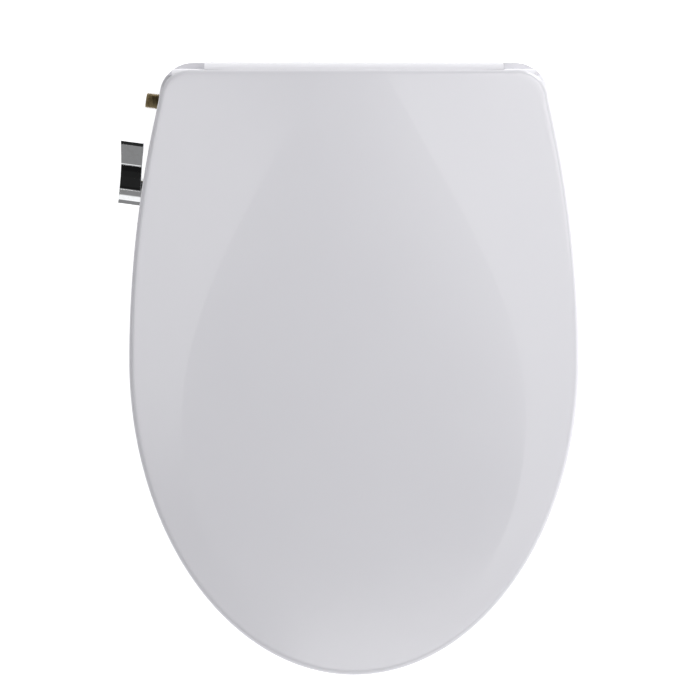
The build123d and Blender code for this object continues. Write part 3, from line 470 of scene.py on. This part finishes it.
for share in (0.04, 0.12, 0.21, 0.3, 0.39, 0.48, 0.57, 0.65, 0.73, 0.8, 0.86, 0.91, 0.95, 0.98):
    lay(spread_to(edge_line, share * (crease - fine)), 0, 1)
for shift in (-1, 0, 1):
    lay(spread_to(edge_line, crease + shift * fine), 0, 1)
for share in (0.03, 0.08, 0.16, 0.26, 0.37, 0.48, 0.59, 0.7, 0.8, 0.89, 0.96, 1.0):
    lay(spread_to(edge_line, crease + fine + share * (1 - crease - fine)), 0, 1)
for turn in np.radians(np.linspace(0, 90, 10))[1:]:
    drop = (edge_depth - 1.2 * mm * sweep) * (1 - math.cos(turn))
    lay(outline - outward * edge_width * (1 - math.sin(turn)), -drop, 1)
foot = rim_at_tip + (outline[:, 1] - tip_y) * rim_rise
for inset, rise in ((0, 0.6), (0.15, 0.18), (0.6, 0), (2.4, 0), (2.85, 0.18)):
    lay(outline - outward * inset * mm, (1 - sweep) * (foot + rise * mm) - sweep * (wall - 0.1 * mm), sweep)
for drop, inset in ((1.6, 0.0), (0.5, 0.4), (0, 1.6)):
    lay(outline - outward * (wall + inset * mm), -wall - (1 - sweep) * drop * mm, 1)
under = outline - outward * (wall + 1.6 * mm)
for share in (0.9, 0.75, 0.6, 0.45, 0.3, 0.15):
    lay(spread_to(under, share), -wall, 1)
print("rings:", len(lid_rings), " corners on each:", len(outline))

# %% [markdown]
# Geometry Nodes do what repeats or follows a rule. Each tree is built by the same few
# lines: named inputs, one Geometry in and out, and at its end Realize Instances and Set
# Material. A tree is run on a carrier object and its result kept as a plain mesh.

# %% Building and running a geometry tree
class Grown(Maker):
    """A geometry tree with named inputs, and the way to run it."""

    def __init__(self, name, **inputs):
        super().__init__(bpy.data.node_groups.new(name, "GeometryNodeTree"))
        self.new_socket("Geometry", "INPUT", "NodeSocketGeometry")
        for label, value in inputs.items():
            kind = "NodeSocketInt" if isinstance(value, int) else "NodeSocketFloat"
            self.new_socket(label.replace("_", " "), "INPUT", kind).default_value = value
        self.new_socket("Material", "INPUT", "NodeSocketMaterial")
        self.new_socket("Geometry", "OUTPUT", "NodeSocketGeometry")
        entry = self.tree.nodes.new("NodeGroupInput")
        self.given = {s.name: Wire(self, s) for s in entry.outputs if s.name}

    def new_socket(self, label, side, kind):
        return self.tree.interface.new_socket(label, in_out=side, socket_type=kind)

    def point(self, x, y, z):
        return self.node("ShaderNodeCombineXYZ", {}, {"X": x, "Y": y, "Z": z})

    def parts_of(self, vector):
        taken = self.node("ShaderNodeSeparateXYZ", {}, {"Vector": vector}).socket.node
        return [Wire(self, s) for s in taken.outputs]

    def end(self, geometry):
        real = self.node("GeometryNodeRealizeInstances", {}, {"Geometry": geometry})
        sockets = {"Geometry": real, "Material": self.given["Material"]}
        done = self.node("GeometryNodeSetMaterial", {}, sockets)
        out = self.tree.nodes.new("NodeGroupOutput")
        self.tree.links.new(done.socket, out.inputs["Geometry"])

    def run(self, name, slot, start=None, place=None, **values):
        """Keeps the tree's result as a mesh object at the origin, moved by place."""
        carrier = bpy.data.objects.new(name + "_carrier", start or bpy.data.meshes.new(name))
        bpy.context.scene.collection.objects.link(carrier)
        modifier = carrier.modifiers.new("tree", "NODES")
        modifier.node_group = self.tree
        sockets = [s for s in self.tree.interface.items_tree if s.in_out == "INPUT"]
        identifier = {s.name: s.identifier for s in sockets}
        modifier[identifier["Material"]] = finishes[slot]
        for label, value in values.items():
            modifier[identifier[label.replace("_", " ")]] = value
        held = carrier.evaluated_get(bpy.context.evaluated_depsgraph_get())
        mesh = bpy.data.meshes.new_from_object(held)
        bpy.data.objects.remove(carrier)
        mesh.transform(place or Matrix.Identity(4))
        piece = bpy.data.objects.new(name, mesh)
        bpy.context.scene.collection.objects.link(piece)
        return piece


print("geometry trees ready")

# %% [markdown]
# The crown is one rule: a long arc along the seat, a flatter one across it, and the
# teardrop as a slightly flatter field within. The tree lifts every corner of the flat
# layout onto it. The crease fades towards the tip, where the real lid is smooth.

# %% The crown's rule
crown = Grown(
    "crown_of_the_lid",
    Crown_height=0.0588,
    Crown_station=-0.060,
    Radius_along=6.32,
    Radius_across=3.0,
    Panel_fall=0.75,
    Crease_ends=-0.430,
    Crease_is_full=-0.330,
)
side, along, _ = crown.parts_of(crown.node("GeometryNodeInputPosition"))
across = crown.maths("ABSOLUTE", side)


def carried(name):
    return crown.node("GeometryNodeInputNamedAttribute", {"data_type": "FLOAT"}, {"Name": name})


given = crown.given
edge, fold = carried("flank"), carried("panel")
fall = edge * edge / (2 * given["Radius across"])
plain = fall * (across / edge) ** 2
at_fold = given["Panel fall"] * fall * (fold / edge) ** 2
within = at_fold * (across / fold) ** 2
beyond = at_fold + (fall - at_fold) * (across - fold) / (edge - fold)
creased = crown.maths("MAXIMUM", within, beyond)
shown = crown.smooth(along, given["Crease ends"], given["Crease is full"])
relief = plain + (creased - plain) * shown
dome = given["Crown height"] - (along - given["Crown station"]) ** 2 / (2 * given["Radius along"]) - relief
lifted = crown.node(
    "GeometryNodeSetPosition",
    {},
    {"Geometry": given["Geometry"], "Offset": crown.point(0.0, 0.0, dome * carried("follow"))},
)
crown.end(lifted)
print("nodes in the crown's rule:", len(crown.tree.nodes))

# %% The lid
corners, faces = skin(lid_rings)
flat_lid = smoothed(mesh_of("flat_lid", (corners, faces)), flat_over=50)
stations = [c[1] for c in corners]
columns = {
    "flank": [max(flank(y), 20 * mm) for y in stations],
    "panel": [min(max(panel(y), 8 * mm), 0.97 * max(flank(y), 20 * mm)) for y in stations],
    "follow": list(np.concatenate(follows)) + [1.0, 1.0],
}
for label, values in columns.items():
    flat_lid.attributes.new(label, "FLOAT", "POINT").data.foreach_set("value", np.array(values, np.float32))
lid = crown.run("lid_shell", "gloss_white", start=flat_lid)
print("lid, corners:", len(lid.data.vertices), " faces:", len(lid.data.polygons))

# %% [markdown]
# Under the plate stand four round bosses that carry the rubber bumpers. They are turned
# shapes: a profile of distances and radii, swept round an axis. The same helper makes
# every other round piece, so it takes a place and a direction too.

# %% Turned shapes
def turned(profile, place=None, steps=48, ends="points"):
    """Corners and faces of a profile of (height, radius) in millimetres, swept round an axis.
    It runs from the bottom's middle to the top's, or is a loop."""
    angles = np.linspace(0, 2 * math.pi, steps, endpoint=False)
    circle = np.column_stack([np.cos(angles), np.sin(angles)])
    rings = [np.column_stack([circle * r * mm, np.full(steps, z * mm)]) for z, r in profile]
    corners, faces = skin(rings[::-1], ends)
    place = place or Matrix.Identity(4)
    return [tuple(place @ Vector(c)) for c in corners], faces


def aimed(origin, direction, forward=(0, -1, 0)):
    """A place whose Z axis is the direction, with X as near forward as it can be."""
    z = Vector(direction).normalized()
    y = z.cross(Vector(forward)).normalized()
    return Matrix.Translation(Vector(origin)) @ Matrix((y.cross(z), y, z)).transposed().to_4x4()


def gathered(shapes):
    """Several shapes as the corners and faces of one piece."""
    corners, faces = [], []
    for shape_corners, shape_faces in shapes:
        faces += [tuple(i + len(corners) for i in face) for face in shape_faces]
        corners += shape_corners
    return corners, faces


def top_of_lid(x, y):
    """Height of the finished lid just above a point of the plan."""
    near = [v.co.z for v in lid.data.vertices if math.hypot(v.co.x - x, v.co.y - y) < 9 * mm]
    return max(near)


print("turned shapes ready")

# %% Bosses under the lid
def nearest_boxes(node, places, reach=12 * mm):
    """Lowest and highest level of a node's corners near each place."""
    levels = []
    for x, y in places:
        z = [v.co.z for v in frame["nodes"][node].data.vertices if math.hypot(v.co.x - x, v.co.y - y) < reach]
        levels.append((min(z), max(z)))
    return levels


bumper_places = [(side * x * mm, y * mm) for side in (-1, 1) for x, y in ((142, -150), (95, -380))]
bosses = []
for (x, y), (low, high) in zip(bumper_places, nearest_boxes("lid_bumpers", bumper_places)):
    rise = (top_of_lid(x, y) - high) / mm - 1.5
    profile = [(0, 5.2), (0, 6.6), (0.4, 7), (rise - 3, 7), (rise - 2, 7.4), (rise - 1.5, 8.4), (rise, 8.8)]
    bosses.append(turned(profile, Matrix.Translation((x, y, high))))
boss_piece = new_piece("lid_bumper_bosses", gathered(bosses), "gloss_white")
enrol(lid, "lid", "gloss_white", "lid")
enrol(boss_piece, "lid", "gloss_white")
print("bosses:", len(bosses))

# %% [markdown]
# The lever is a die casting with a thin chrome plate: a round hub with a small lip in front,
# a hollow for the finger and a flat thumb tongue that rises to a bevelled tip. Its side view
# is one loop of points, each a distance ahead of the hub's axis and a height over it. Loops
# set side by side make the lever, and some are drawn in for the rims of its two sides.
# Two faults are left in it: the drawn-in loops come in the wrong order, so each rim folds
# back on itself, and its two flat sides face inwards.

# %% Side view of the lever
joints = {joint["name"]: joint for joint in frame["record"]["behaviour"]["joints"]}
mounts = {mount["name"]: mount for mount in frame["record"]["mounts"]}
lever_turn = joints["lever_turn"]
lever_place = aimed(lever_turn["pos_m"], -Vector(lever_turn["axis"]))
hub_ahead, hub_radius = 2.0, 11.4


def hub_arc(start, end, count):
    """Points round the hub, angles in degrees from straight ahead."""
    angles = np.radians(np.linspace(start, end, count))
    return [(hub_ahead + hub_radius * math.cos(a), hub_radius * math.sin(a)) for a in angles]


def eased(points, radius, steps=4):
    """A loop with its corners rounded off, and close pairs of points where its straights
    begin and end, so that they stay flat when shaded."""
    made = []
    for i, here in enumerate(points):
        here, ends = np.array(here), []
        for other in (points[i - 1], points[(i + 1) % len(points)]):
            away = np.array(other) - here
            length = np.linalg.norm(away)
            reach = min(radius, 0.4 * length)
            straight = min(1.6 * reach, 0.45 * length)
            ends.append((here + away / length * reach, here + away / length * straight))
        made.append(ends[0][1])
        for t in np.linspace(0, 1, steps):
            made.append((1 - t) ** 2 * ends[0][0] + 2 * t * (1 - t) * here + t**2 * ends[1][0])
        made.append(ends[1][1])
    return np.array(made)


side_view = hub_arc(42, 112, 18)
side_view += [(-9.6, 8.05), (-14.4, 6.6), (-19.3, 5.65)]
side_view += [(-19.85, 6.05), (-36.0, 11.1), (-39.2, 9.5)]
side_view += [(-39.4, 7.6), (-20.0, -1.2), (-12.0, -6.2)]
side_view += hub_arc(232, 318, 14)
side_view += [(13.3, -5.6), (13.8, -3.0), (13.8, 7.1), (10.6, 7.55)]
print("points in the side view:", len(side_view))

# %% The lever
loop = eased(side_view, 0.35)
tangents = np.roll(loop, -1, axis=0) - np.roll(loop, 1, axis=0)
tangents /= np.linalg.norm(tangents, axis=1)[:, None]
inwards = np.column_stack([-tangents[:, 1], tangents[:, 0]])
middle = 13.6 - 0.0935 * loop[:, 0]
half = 8.85 + 1.0 * ((loop[:, 0] + 14) / 25) ** 2
edge_round = 0.45
lever_rings = []
for side in (-1, 1):
    for lean in np.radians(np.linspace(0, 90, 6))[::side]:
        drawn = loop + inwards * edge_round * (1 - math.sin(lean))
        across_lever = middle + side * (half - edge_round * (1 - math.cos(lean)))
        lever_rings.append(np.column_stack([drawn, across_lever]) * mm)
corners, faces = skin(lever_rings[::-1], ends="flat")
lever = new_piece("lever_casting", ([tuple(lever_place @ Vector(c)) for c in corners], faces), "chrome")
enrol(lever, "lever", "chrome", "lever")
print("lever, corners:", len(corners))

# %% [markdown]
# The metal parts at the wall are turned on a lathe, then cut. A thread is one rule: the
# radius falls and rises with the height less the share of a turn. A tree that applies the
# rule to any turned shape serves the inlet and every screw. A second tree cuts flutes round
# an axis, for the collar's grip and for the six-lobed socket in a screw head.

# %% Rules for threads and flutes
def round_rule(name, **inputs):
    """A tree with its corners' distance from the axis, angle and height ready."""
    tree = Grown(name, **inputs)
    x, y, z = tree.parts_of(tree.node("GeometryNodeInputPosition"))
    radius = (x * x + y * y) ** 0.5
    return tree, x, y, z, radius, tree.maths("ARCTAN2", y, x)


def pulled_in(tree, x, y, z, radius, cut):
    """Ends the tree with every corner moved towards the axis by cut."""
    share = 1 - cut / radius
    spot = tree.point(x * share, y * share, z)
    moved = tree.node("GeometryNodeSetPosition", {}, {"Geometry": tree.given["Geometry"], "Position": spot})
    tree.end(moved)


thread, x, y, z, radius, angle = round_rule("thread", pitch=1.0, depth=0.1, core=1.0, begin=0.0, finish=1.0)
given = thread.given
phase = thread.maths("FRACT", z / given["pitch"] - angle / (2 * math.pi))
groove = thread.smooth(thread.maths("ABSOLUTE", phase - 0.5) * 2, 0.15, 0.85)
run_in = thread.smooth(z, given["begin"], given["begin"] + given["pitch"])
run_out = 1 - thread.smooth(z, given["finish"] - given["pitch"], given["finish"])
outside = thread.maths("GREATER_THAN", radius, given["core"])
pulled_in(thread, x, y, z, radius, given["depth"] * groove * run_in * run_out * outside)

flutes, x, y, z, radius, angle = round_rule("flutes", count=6.0, depth=0.1, inner=0.0, outer=1.0)
given = flutes.given
wave = 0.5 - 0.5 * flutes.maths("COSINE", angle * given["count"])
past_inner = flutes.maths("GREATER_THAN", radius, given["inner"])
short_of_outer = flutes.maths("LESS_THAN", radius, given["outer"])
pulled_in(flutes, x, y, z, radius, given["depth"] * wave * past_inner * short_of_outer)


print("rules ready: thread, flutes")

# %% The water inlet
inlet = mounts["water_inlet"]
inlet_out = Vector(inlet["axis"])
inlet_from_wall = 5.25 * mm
inlet_place = aimed(Vector(inlet["pos_m"]) - inlet_from_wall * inlet_out, inlet_out)
pitch, major, mouth = 1.337, 6.58, 10.8
neck, shank, barb, bore, barb_bore = 5.8, 5, 1.9, 4.2, 1.2
nut_out, shank_end, barb_end = -2.6, -14, -24
side = [(z, major) for z in np.arange(0.9, mouth - 0.8, pitch / 12)]
outer = [(barb_end, barb), (shank_end - 0.2, barb), (shank_end, shank), (nut_out, shank)]
outer += [(nut_out, neck), (0.5, neck), (0.8, major - 0.4), *side]
inner = [(mouth, major - 0.8), (mouth, bore + 0.3), (mouth - 0.3, bore)]
inner += [(-5, bore), (-5.2, barb_bore), (barb_end, barb_bore)]
blank = mesh_of("inlet_turned", turned(outer + inner, steps=72, ends="loop"))
cut = dict(pitch=pitch * mm, depth=0.86 * mm, core=5.9 * mm, begin=0.6 * mm, finish=(mouth + 1) * mm)
pipe = thread.run("inlet_pipe", "brass", blank, inlet_place, **cut)
smoothed(pipe.data)
nut = [(-6, 8.2), (-5.6, 9), (-3, 9), (nut_out, 8.2), (nut_out, 4.9), (-6, 4.9)]
nut_piece = new_piece("inlet_nut", turned(nut, inlet_place, steps=6, ends="loop"), "brass", 20)
enrol(pipe, "base", "brass", "inlet_fitting")
enrol(nut_piece, "base", "brass", "inlet_fitting")
print("inlet, corners:", len(pipe.data.vertices))

# %% The lever's collar and boss
hub_place = aimed(lever_turn["pos_m"], -Vector(lever_turn["axis"]))
nose, grip_radius = 8.2, 12.5
ring = [(0.1, nose), (0.1, grip_radius - 0.4), (0.4, grip_radius), (2.2, grip_radius)]
ring += [(2.8, grip_radius - 0.4), (3.0, 11.4), (3.0, nose)]
blank = mesh_of("collar_turned", turned(ring, steps=320, ends="loop"))
grip = dict(count=40.0, depth=0.45 * mm, inner=12 * mm, outer=20 * mm)
collar = flutes.run("valve_collar_ribbed", "chrome", blank, hub_place, **grip)
smoothed(collar.data)
enrol(collar, "base", "chrome", "valve_collar")
boss = [(3.5, 4.1), (3.5, 9.6), (3.9, 10.2), (6, 10.2), (6, 4.1)]
enrol(new_piece("lever_boss", turned(boss, hub_place, ends="loop"), "chrome"), "lever", "chrome")
print("collar, corners:", len(collar.data.vertices))

# %% [markdown]
# The screws are all the same kind: a domed head with a six-lobed socket, and a coarse thread
# for plastic. One is made at the origin, head down, and a third tree stands a copy on every
# point that it is given. The points are the middles of the frame's own screws.

# %% Screws
copies = Grown("copies", upside_down=0.0)
model = copies.node("GeometryNodeObjectInfo", {"transform_space": "ORIGINAL"}, {}, output="Geometry")
tilt = copies.point(copies.given["upside down"] * math.pi, 0.0, copies.node("GeometryNodeInputIndex") * 0.7)
sockets = {"Points": copies.given["Geometry"], "Instance": model, "Rotation": tilt}
copies.end(copies.node("GeometryNodeInstanceOnPoints", {}, sockets))


def clusters(node, reach):
    """Boxes of a node's separate bodies that stand further apart than reach."""
    left = np.array([v.co for v in frame["nodes"][node].data.vertices])
    found = []
    while len(left):
        near = np.hypot(*(left[:, :2] - left[0, :2]).T) < reach
        found.append((left[near].min(axis=0), left[near].max(axis=0)))
        left = left[~near]
    return found


def screws(name, node, head, upside_down):
    """Screws of the base in place of a node of upright ones; head is the head's thickness."""
    boxes = clusters(node, 7 * mm)
    length = (boxes[0][1][2] - boxes[0][0][2]) / mm
    crown = [(1.1, 0.3), (1.1, 1.5), (0.1, 1.54), (0, 1.7), (0.2, 2.5), (0.7, 2.95), (head, 3)]
    shank = [(z, 1.499) for z in np.arange(head + 0.05, length - 1.2, 0.11)]
    blank = mesh_of(name, turned(crown + [(head, 1.5)] + shank + [(length, 0.4)], steps=36))
    socket = dict(count=6.0, depth=0.5 * mm, inner=1.45 * mm, outer=1.55 * mm)
    cut = dict(pitch=1.2 * mm, depth=0.42 * mm, core=1.49 * mm, begin=(head + 1) * mm, finish=length * mm)
    threaded = thread.run(name + "_threaded", "steel", blank, **cut)
    made = flutes.run(name + "_made", "steel", threaded.data, **socket)
    smoothed(made.data)
    model.socket.node.inputs["Object"].default_value = made
    starts = [((a[0] + b[0]) / 2, (a[1] + b[1]) / 2, b[2] if upside_down else a[2]) for a, b in boxes]
    places = mesh_of(name + "_places", (starts, []))
    piece = copies.run(name, "steel", places, upside_down=upside_down)
    for used in (threaded, made):
        bpy.data.objects.remove(used)
    print(name, len(starts))
    enrol(piece, "base", "steel", node)


screws("cover_screws_cut", "cover_screws", 1.6, 0.0)
screws("cartridge_screws_cut", "cartridge_screws", 2.0, 1.0)

# %% [markdown]
# Three coil springs hide inside: one round each nozzle tube and one behind the release
# button. A spring is the plainest rule of all, a circle swept along a spiral. Each one is
# set at the end that its joint moves towards, and keeps its length when the joint moves.

# %% Springs
spring_wire = 0.4 * mm
coil = Grown("coil", length=0.07, mean_radius=0.005, turns=11.0, wire=spring_wire)
given = coil.given
bends = {"Rotations": given["turns"], "Height": given["length"], "Resolution": 24}
bends.update({"Start Radius": given["mean radius"], "End Radius": given["mean radius"]})
spiral = coil.node("GeometryNodeCurveSpiral", {}, bends)
wire_size = {"Resolution": 8, "Radius": given["wire"]}
section = coil.node("GeometryNodeCurvePrimitiveCircle", {"mode": "RADIUS"}, wire_size)
swept = {"Curve": spiral, "Profile Curve": section, "Fill Caps": True}
coil.end(coil.node("GeometryNodeCurveToMesh", {}, swept))


def spring(name, node, joint, mean_radius, turns):
    """A coil where a node's is, fixed at the end that its joint moves towards."""
    axis, travel = Vector(joints[joint]["axis"]), joints[joint]["range_m"][1]
    along = [v.co.dot(axis) for v in frame["nodes"][node].data.vertices]
    low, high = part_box(node)
    middle = (Vector(low) + Vector(high)) / 2
    fixed = middle + axis * (max(along) - middle.dot(axis))
    length = max(along) - min(along)
    free = dict(length=length - 2 * spring_wire, mean_radius=mean_radius * mm, turns=turns, wire=spring_wire)
    place = aimed(fixed - axis * spring_wire, -axis, (0.3, 0, 1))
    piece = coil.run(name, "steel", place=place, **free)
    smoothed(piece.data)
    enrol(piece, "base", "steel", node)
    (length - travel) / length
    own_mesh(piece)
    print(name, "length, mm:", round(length / mm, 1))


spring("rear_nozzle_coil", "rear_nozzle_spring", "rear_nozzle_slide", 5.75, 11.0)
spring("front_nozzle_coil", "front_nozzle_spring", "front_nozzle_slide", 5.75, 11.0)
spring("latch_coil", "latch_spring", "release_slide", 4.3, 6.0)

# %% [markdown]
# The studio is plain: a white floor, soft boxes overhead with a gap between them, and a low
# one behind on the right. The gap is the point of it. Looking straight down, the camera sees the
# flat panel mirror the dim gap and the lid's shoulders mirror the boxes, and that is what
# makes a two-degree crease visible in white plastic.

# %% Floor
floor_mesh = bpy.data.meshes.new("floor")
floor_mesh.from_pydata([(-6, -6, 0), (6, -6, 0), (6, 6, 0), (-6, 6, 0)], [], [(0, 1, 2, 3)])
floor = bpy.data.objects.new("floor", floor_mesh)
bpy.context.scene.collection.objects.link(floor)
paper = Finish("white_acrylic_floor", (0.9, 0.9, 0.9), 0.6)
paper.set("Base Color", paper.blend(paper.speckle(0.9, 3), (0.9, 0.9, 0.9), (0.88, 0.88, 0.885)))
paper.shader.inputs["Emission Color"].default_value = (1, 1, 1, 1)
paper.shader.inputs["Emission Strength"].default_value = 0.75
floor_mesh.materials.append(paper.material)
floor.location.z = -0.1 * mm
floor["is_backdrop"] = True
print("floor ready")

# %% [markdown]
# The sky of the studio is a grey dome, almost black behind the object and brighter low in
# front of it and on its right. Chrome has no colour of its own, so the sky and the soft
# boxes are all that the lever can show.

# %% Studio sky
world = bpy.data.worlds.new("studio")
bpy.context.scene.world = world
world.use_nodes = True
sky = Maker(world.node_tree)
direction = sky.node("ShaderNodeTexCoord", output="Generated")
parts = sky.node("ShaderNodeSeparateXYZ", {}, {"Vector": direction}).socket.node
to_rear = Wire(sky, parts.outputs["Y"])
low_front = sky.smooth(0 - to_rear, 0.60, 0.78)
behind = sky.smooth(to_rear, 0.12, 0.3)
low_right = sky.smooth(Wire(sky, parts.outputs["X"]), 0.80, 0.95)
rear_glow = sky.smooth(to_rear, 0.35, 0.8)
grey = 0.285 + 0.9 * low_front - 0.275 * behind + 0.015 * rear_glow + 1.8 * low_right
background = next(n for n in world.node_tree.nodes if n.type == "BACKGROUND")
shade = sky.node("ShaderNodeCombineXYZ", {}, {"X": grey, "Y": grey, "Z": grey * 1.02})
world.node_tree.links.new(shade.socket, background.inputs["Color"])
print("sky ready")


# %% Soft boxes
def soft_box(name, x, y, height, size, power, spin=0.0, target=None):
    """A rectangular light that looks straight down, or at a target."""
    light = bpy.data.lights.new(name, "AREA")
    light.shape, light.size, light.size_y = "RECTANGLE", *size
    light.energy = power
    lamp = bpy.data.objects.new(name, light)
    lamp.location = (x, y, height)
    lamp.rotation_euler = (0, 0, math.radians(spin))
    if target:
        lamp.rotation_euler = (target - lamp.location).to_track_quat("-Z", "Y").to_euler()
    lamp.visible_camera = False
    bpy.context.scene.collection.objects.link(lamp)


over = 3.0
soft_box("left_shoulder", -0.642, -0.11, over, (0.4, 0.942), 2.6, spin=-26.9)
soft_box("right_shoulder", 0.667, -0.401, over, (0.5, 1.703), 4.5, spin=31)
soft_box("right_rear", 0.75, 0.55, over, (0.8, 0.7), 10.1)
soft_box("right_corner", 0.95, 0.20, over, (0.5, 0.7), 5.6)
soft_box("front", 0.4, -1.07, over, (1.2, 0.3), 5.0)
soft_box("behind_right", 1.6, 2.2, 1.5, (1.2, 1.2), 55.0, target=Vector((0, -0.2, 0.05)))
print("soft boxes ready")

# %% Camera
camera_data = bpy.data.cameras.new("camera")
camera_height = 5.0
frame_width = 0.5862
camera_data.lens = camera_data.sensor_width * (camera_height - 0.055) / frame_width
camera_data.clip_end = 50
camera = bpy.data.objects.new("camera", camera_data)
camera.location = (-0.0034, -0.1972, camera_height)
bpy.context.scene.collection.objects.link(camera)
bpy.context.scene.camera = camera
bpy.context.scene.view_settings.view_transform = "Standard"
bpy.context.scene.view_settings.look = "None"
print("lens, mm:", round(camera_data.lens, 1))

# %% [markdown]
# At the end, the finished object's box is set beside the frame's. They should
# agree, because the looks are built on the frame and not beside it.

# %% Sizes and finish
shown_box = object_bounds()
sizes = {"cad": [list(c) for c in frame_box], "visual": [list(c) for c in shown_box]}
for label, box in sizes.items():
    print(label, "box, mm:", [[round(v / mm, 2) for v in corner] for corner in box])
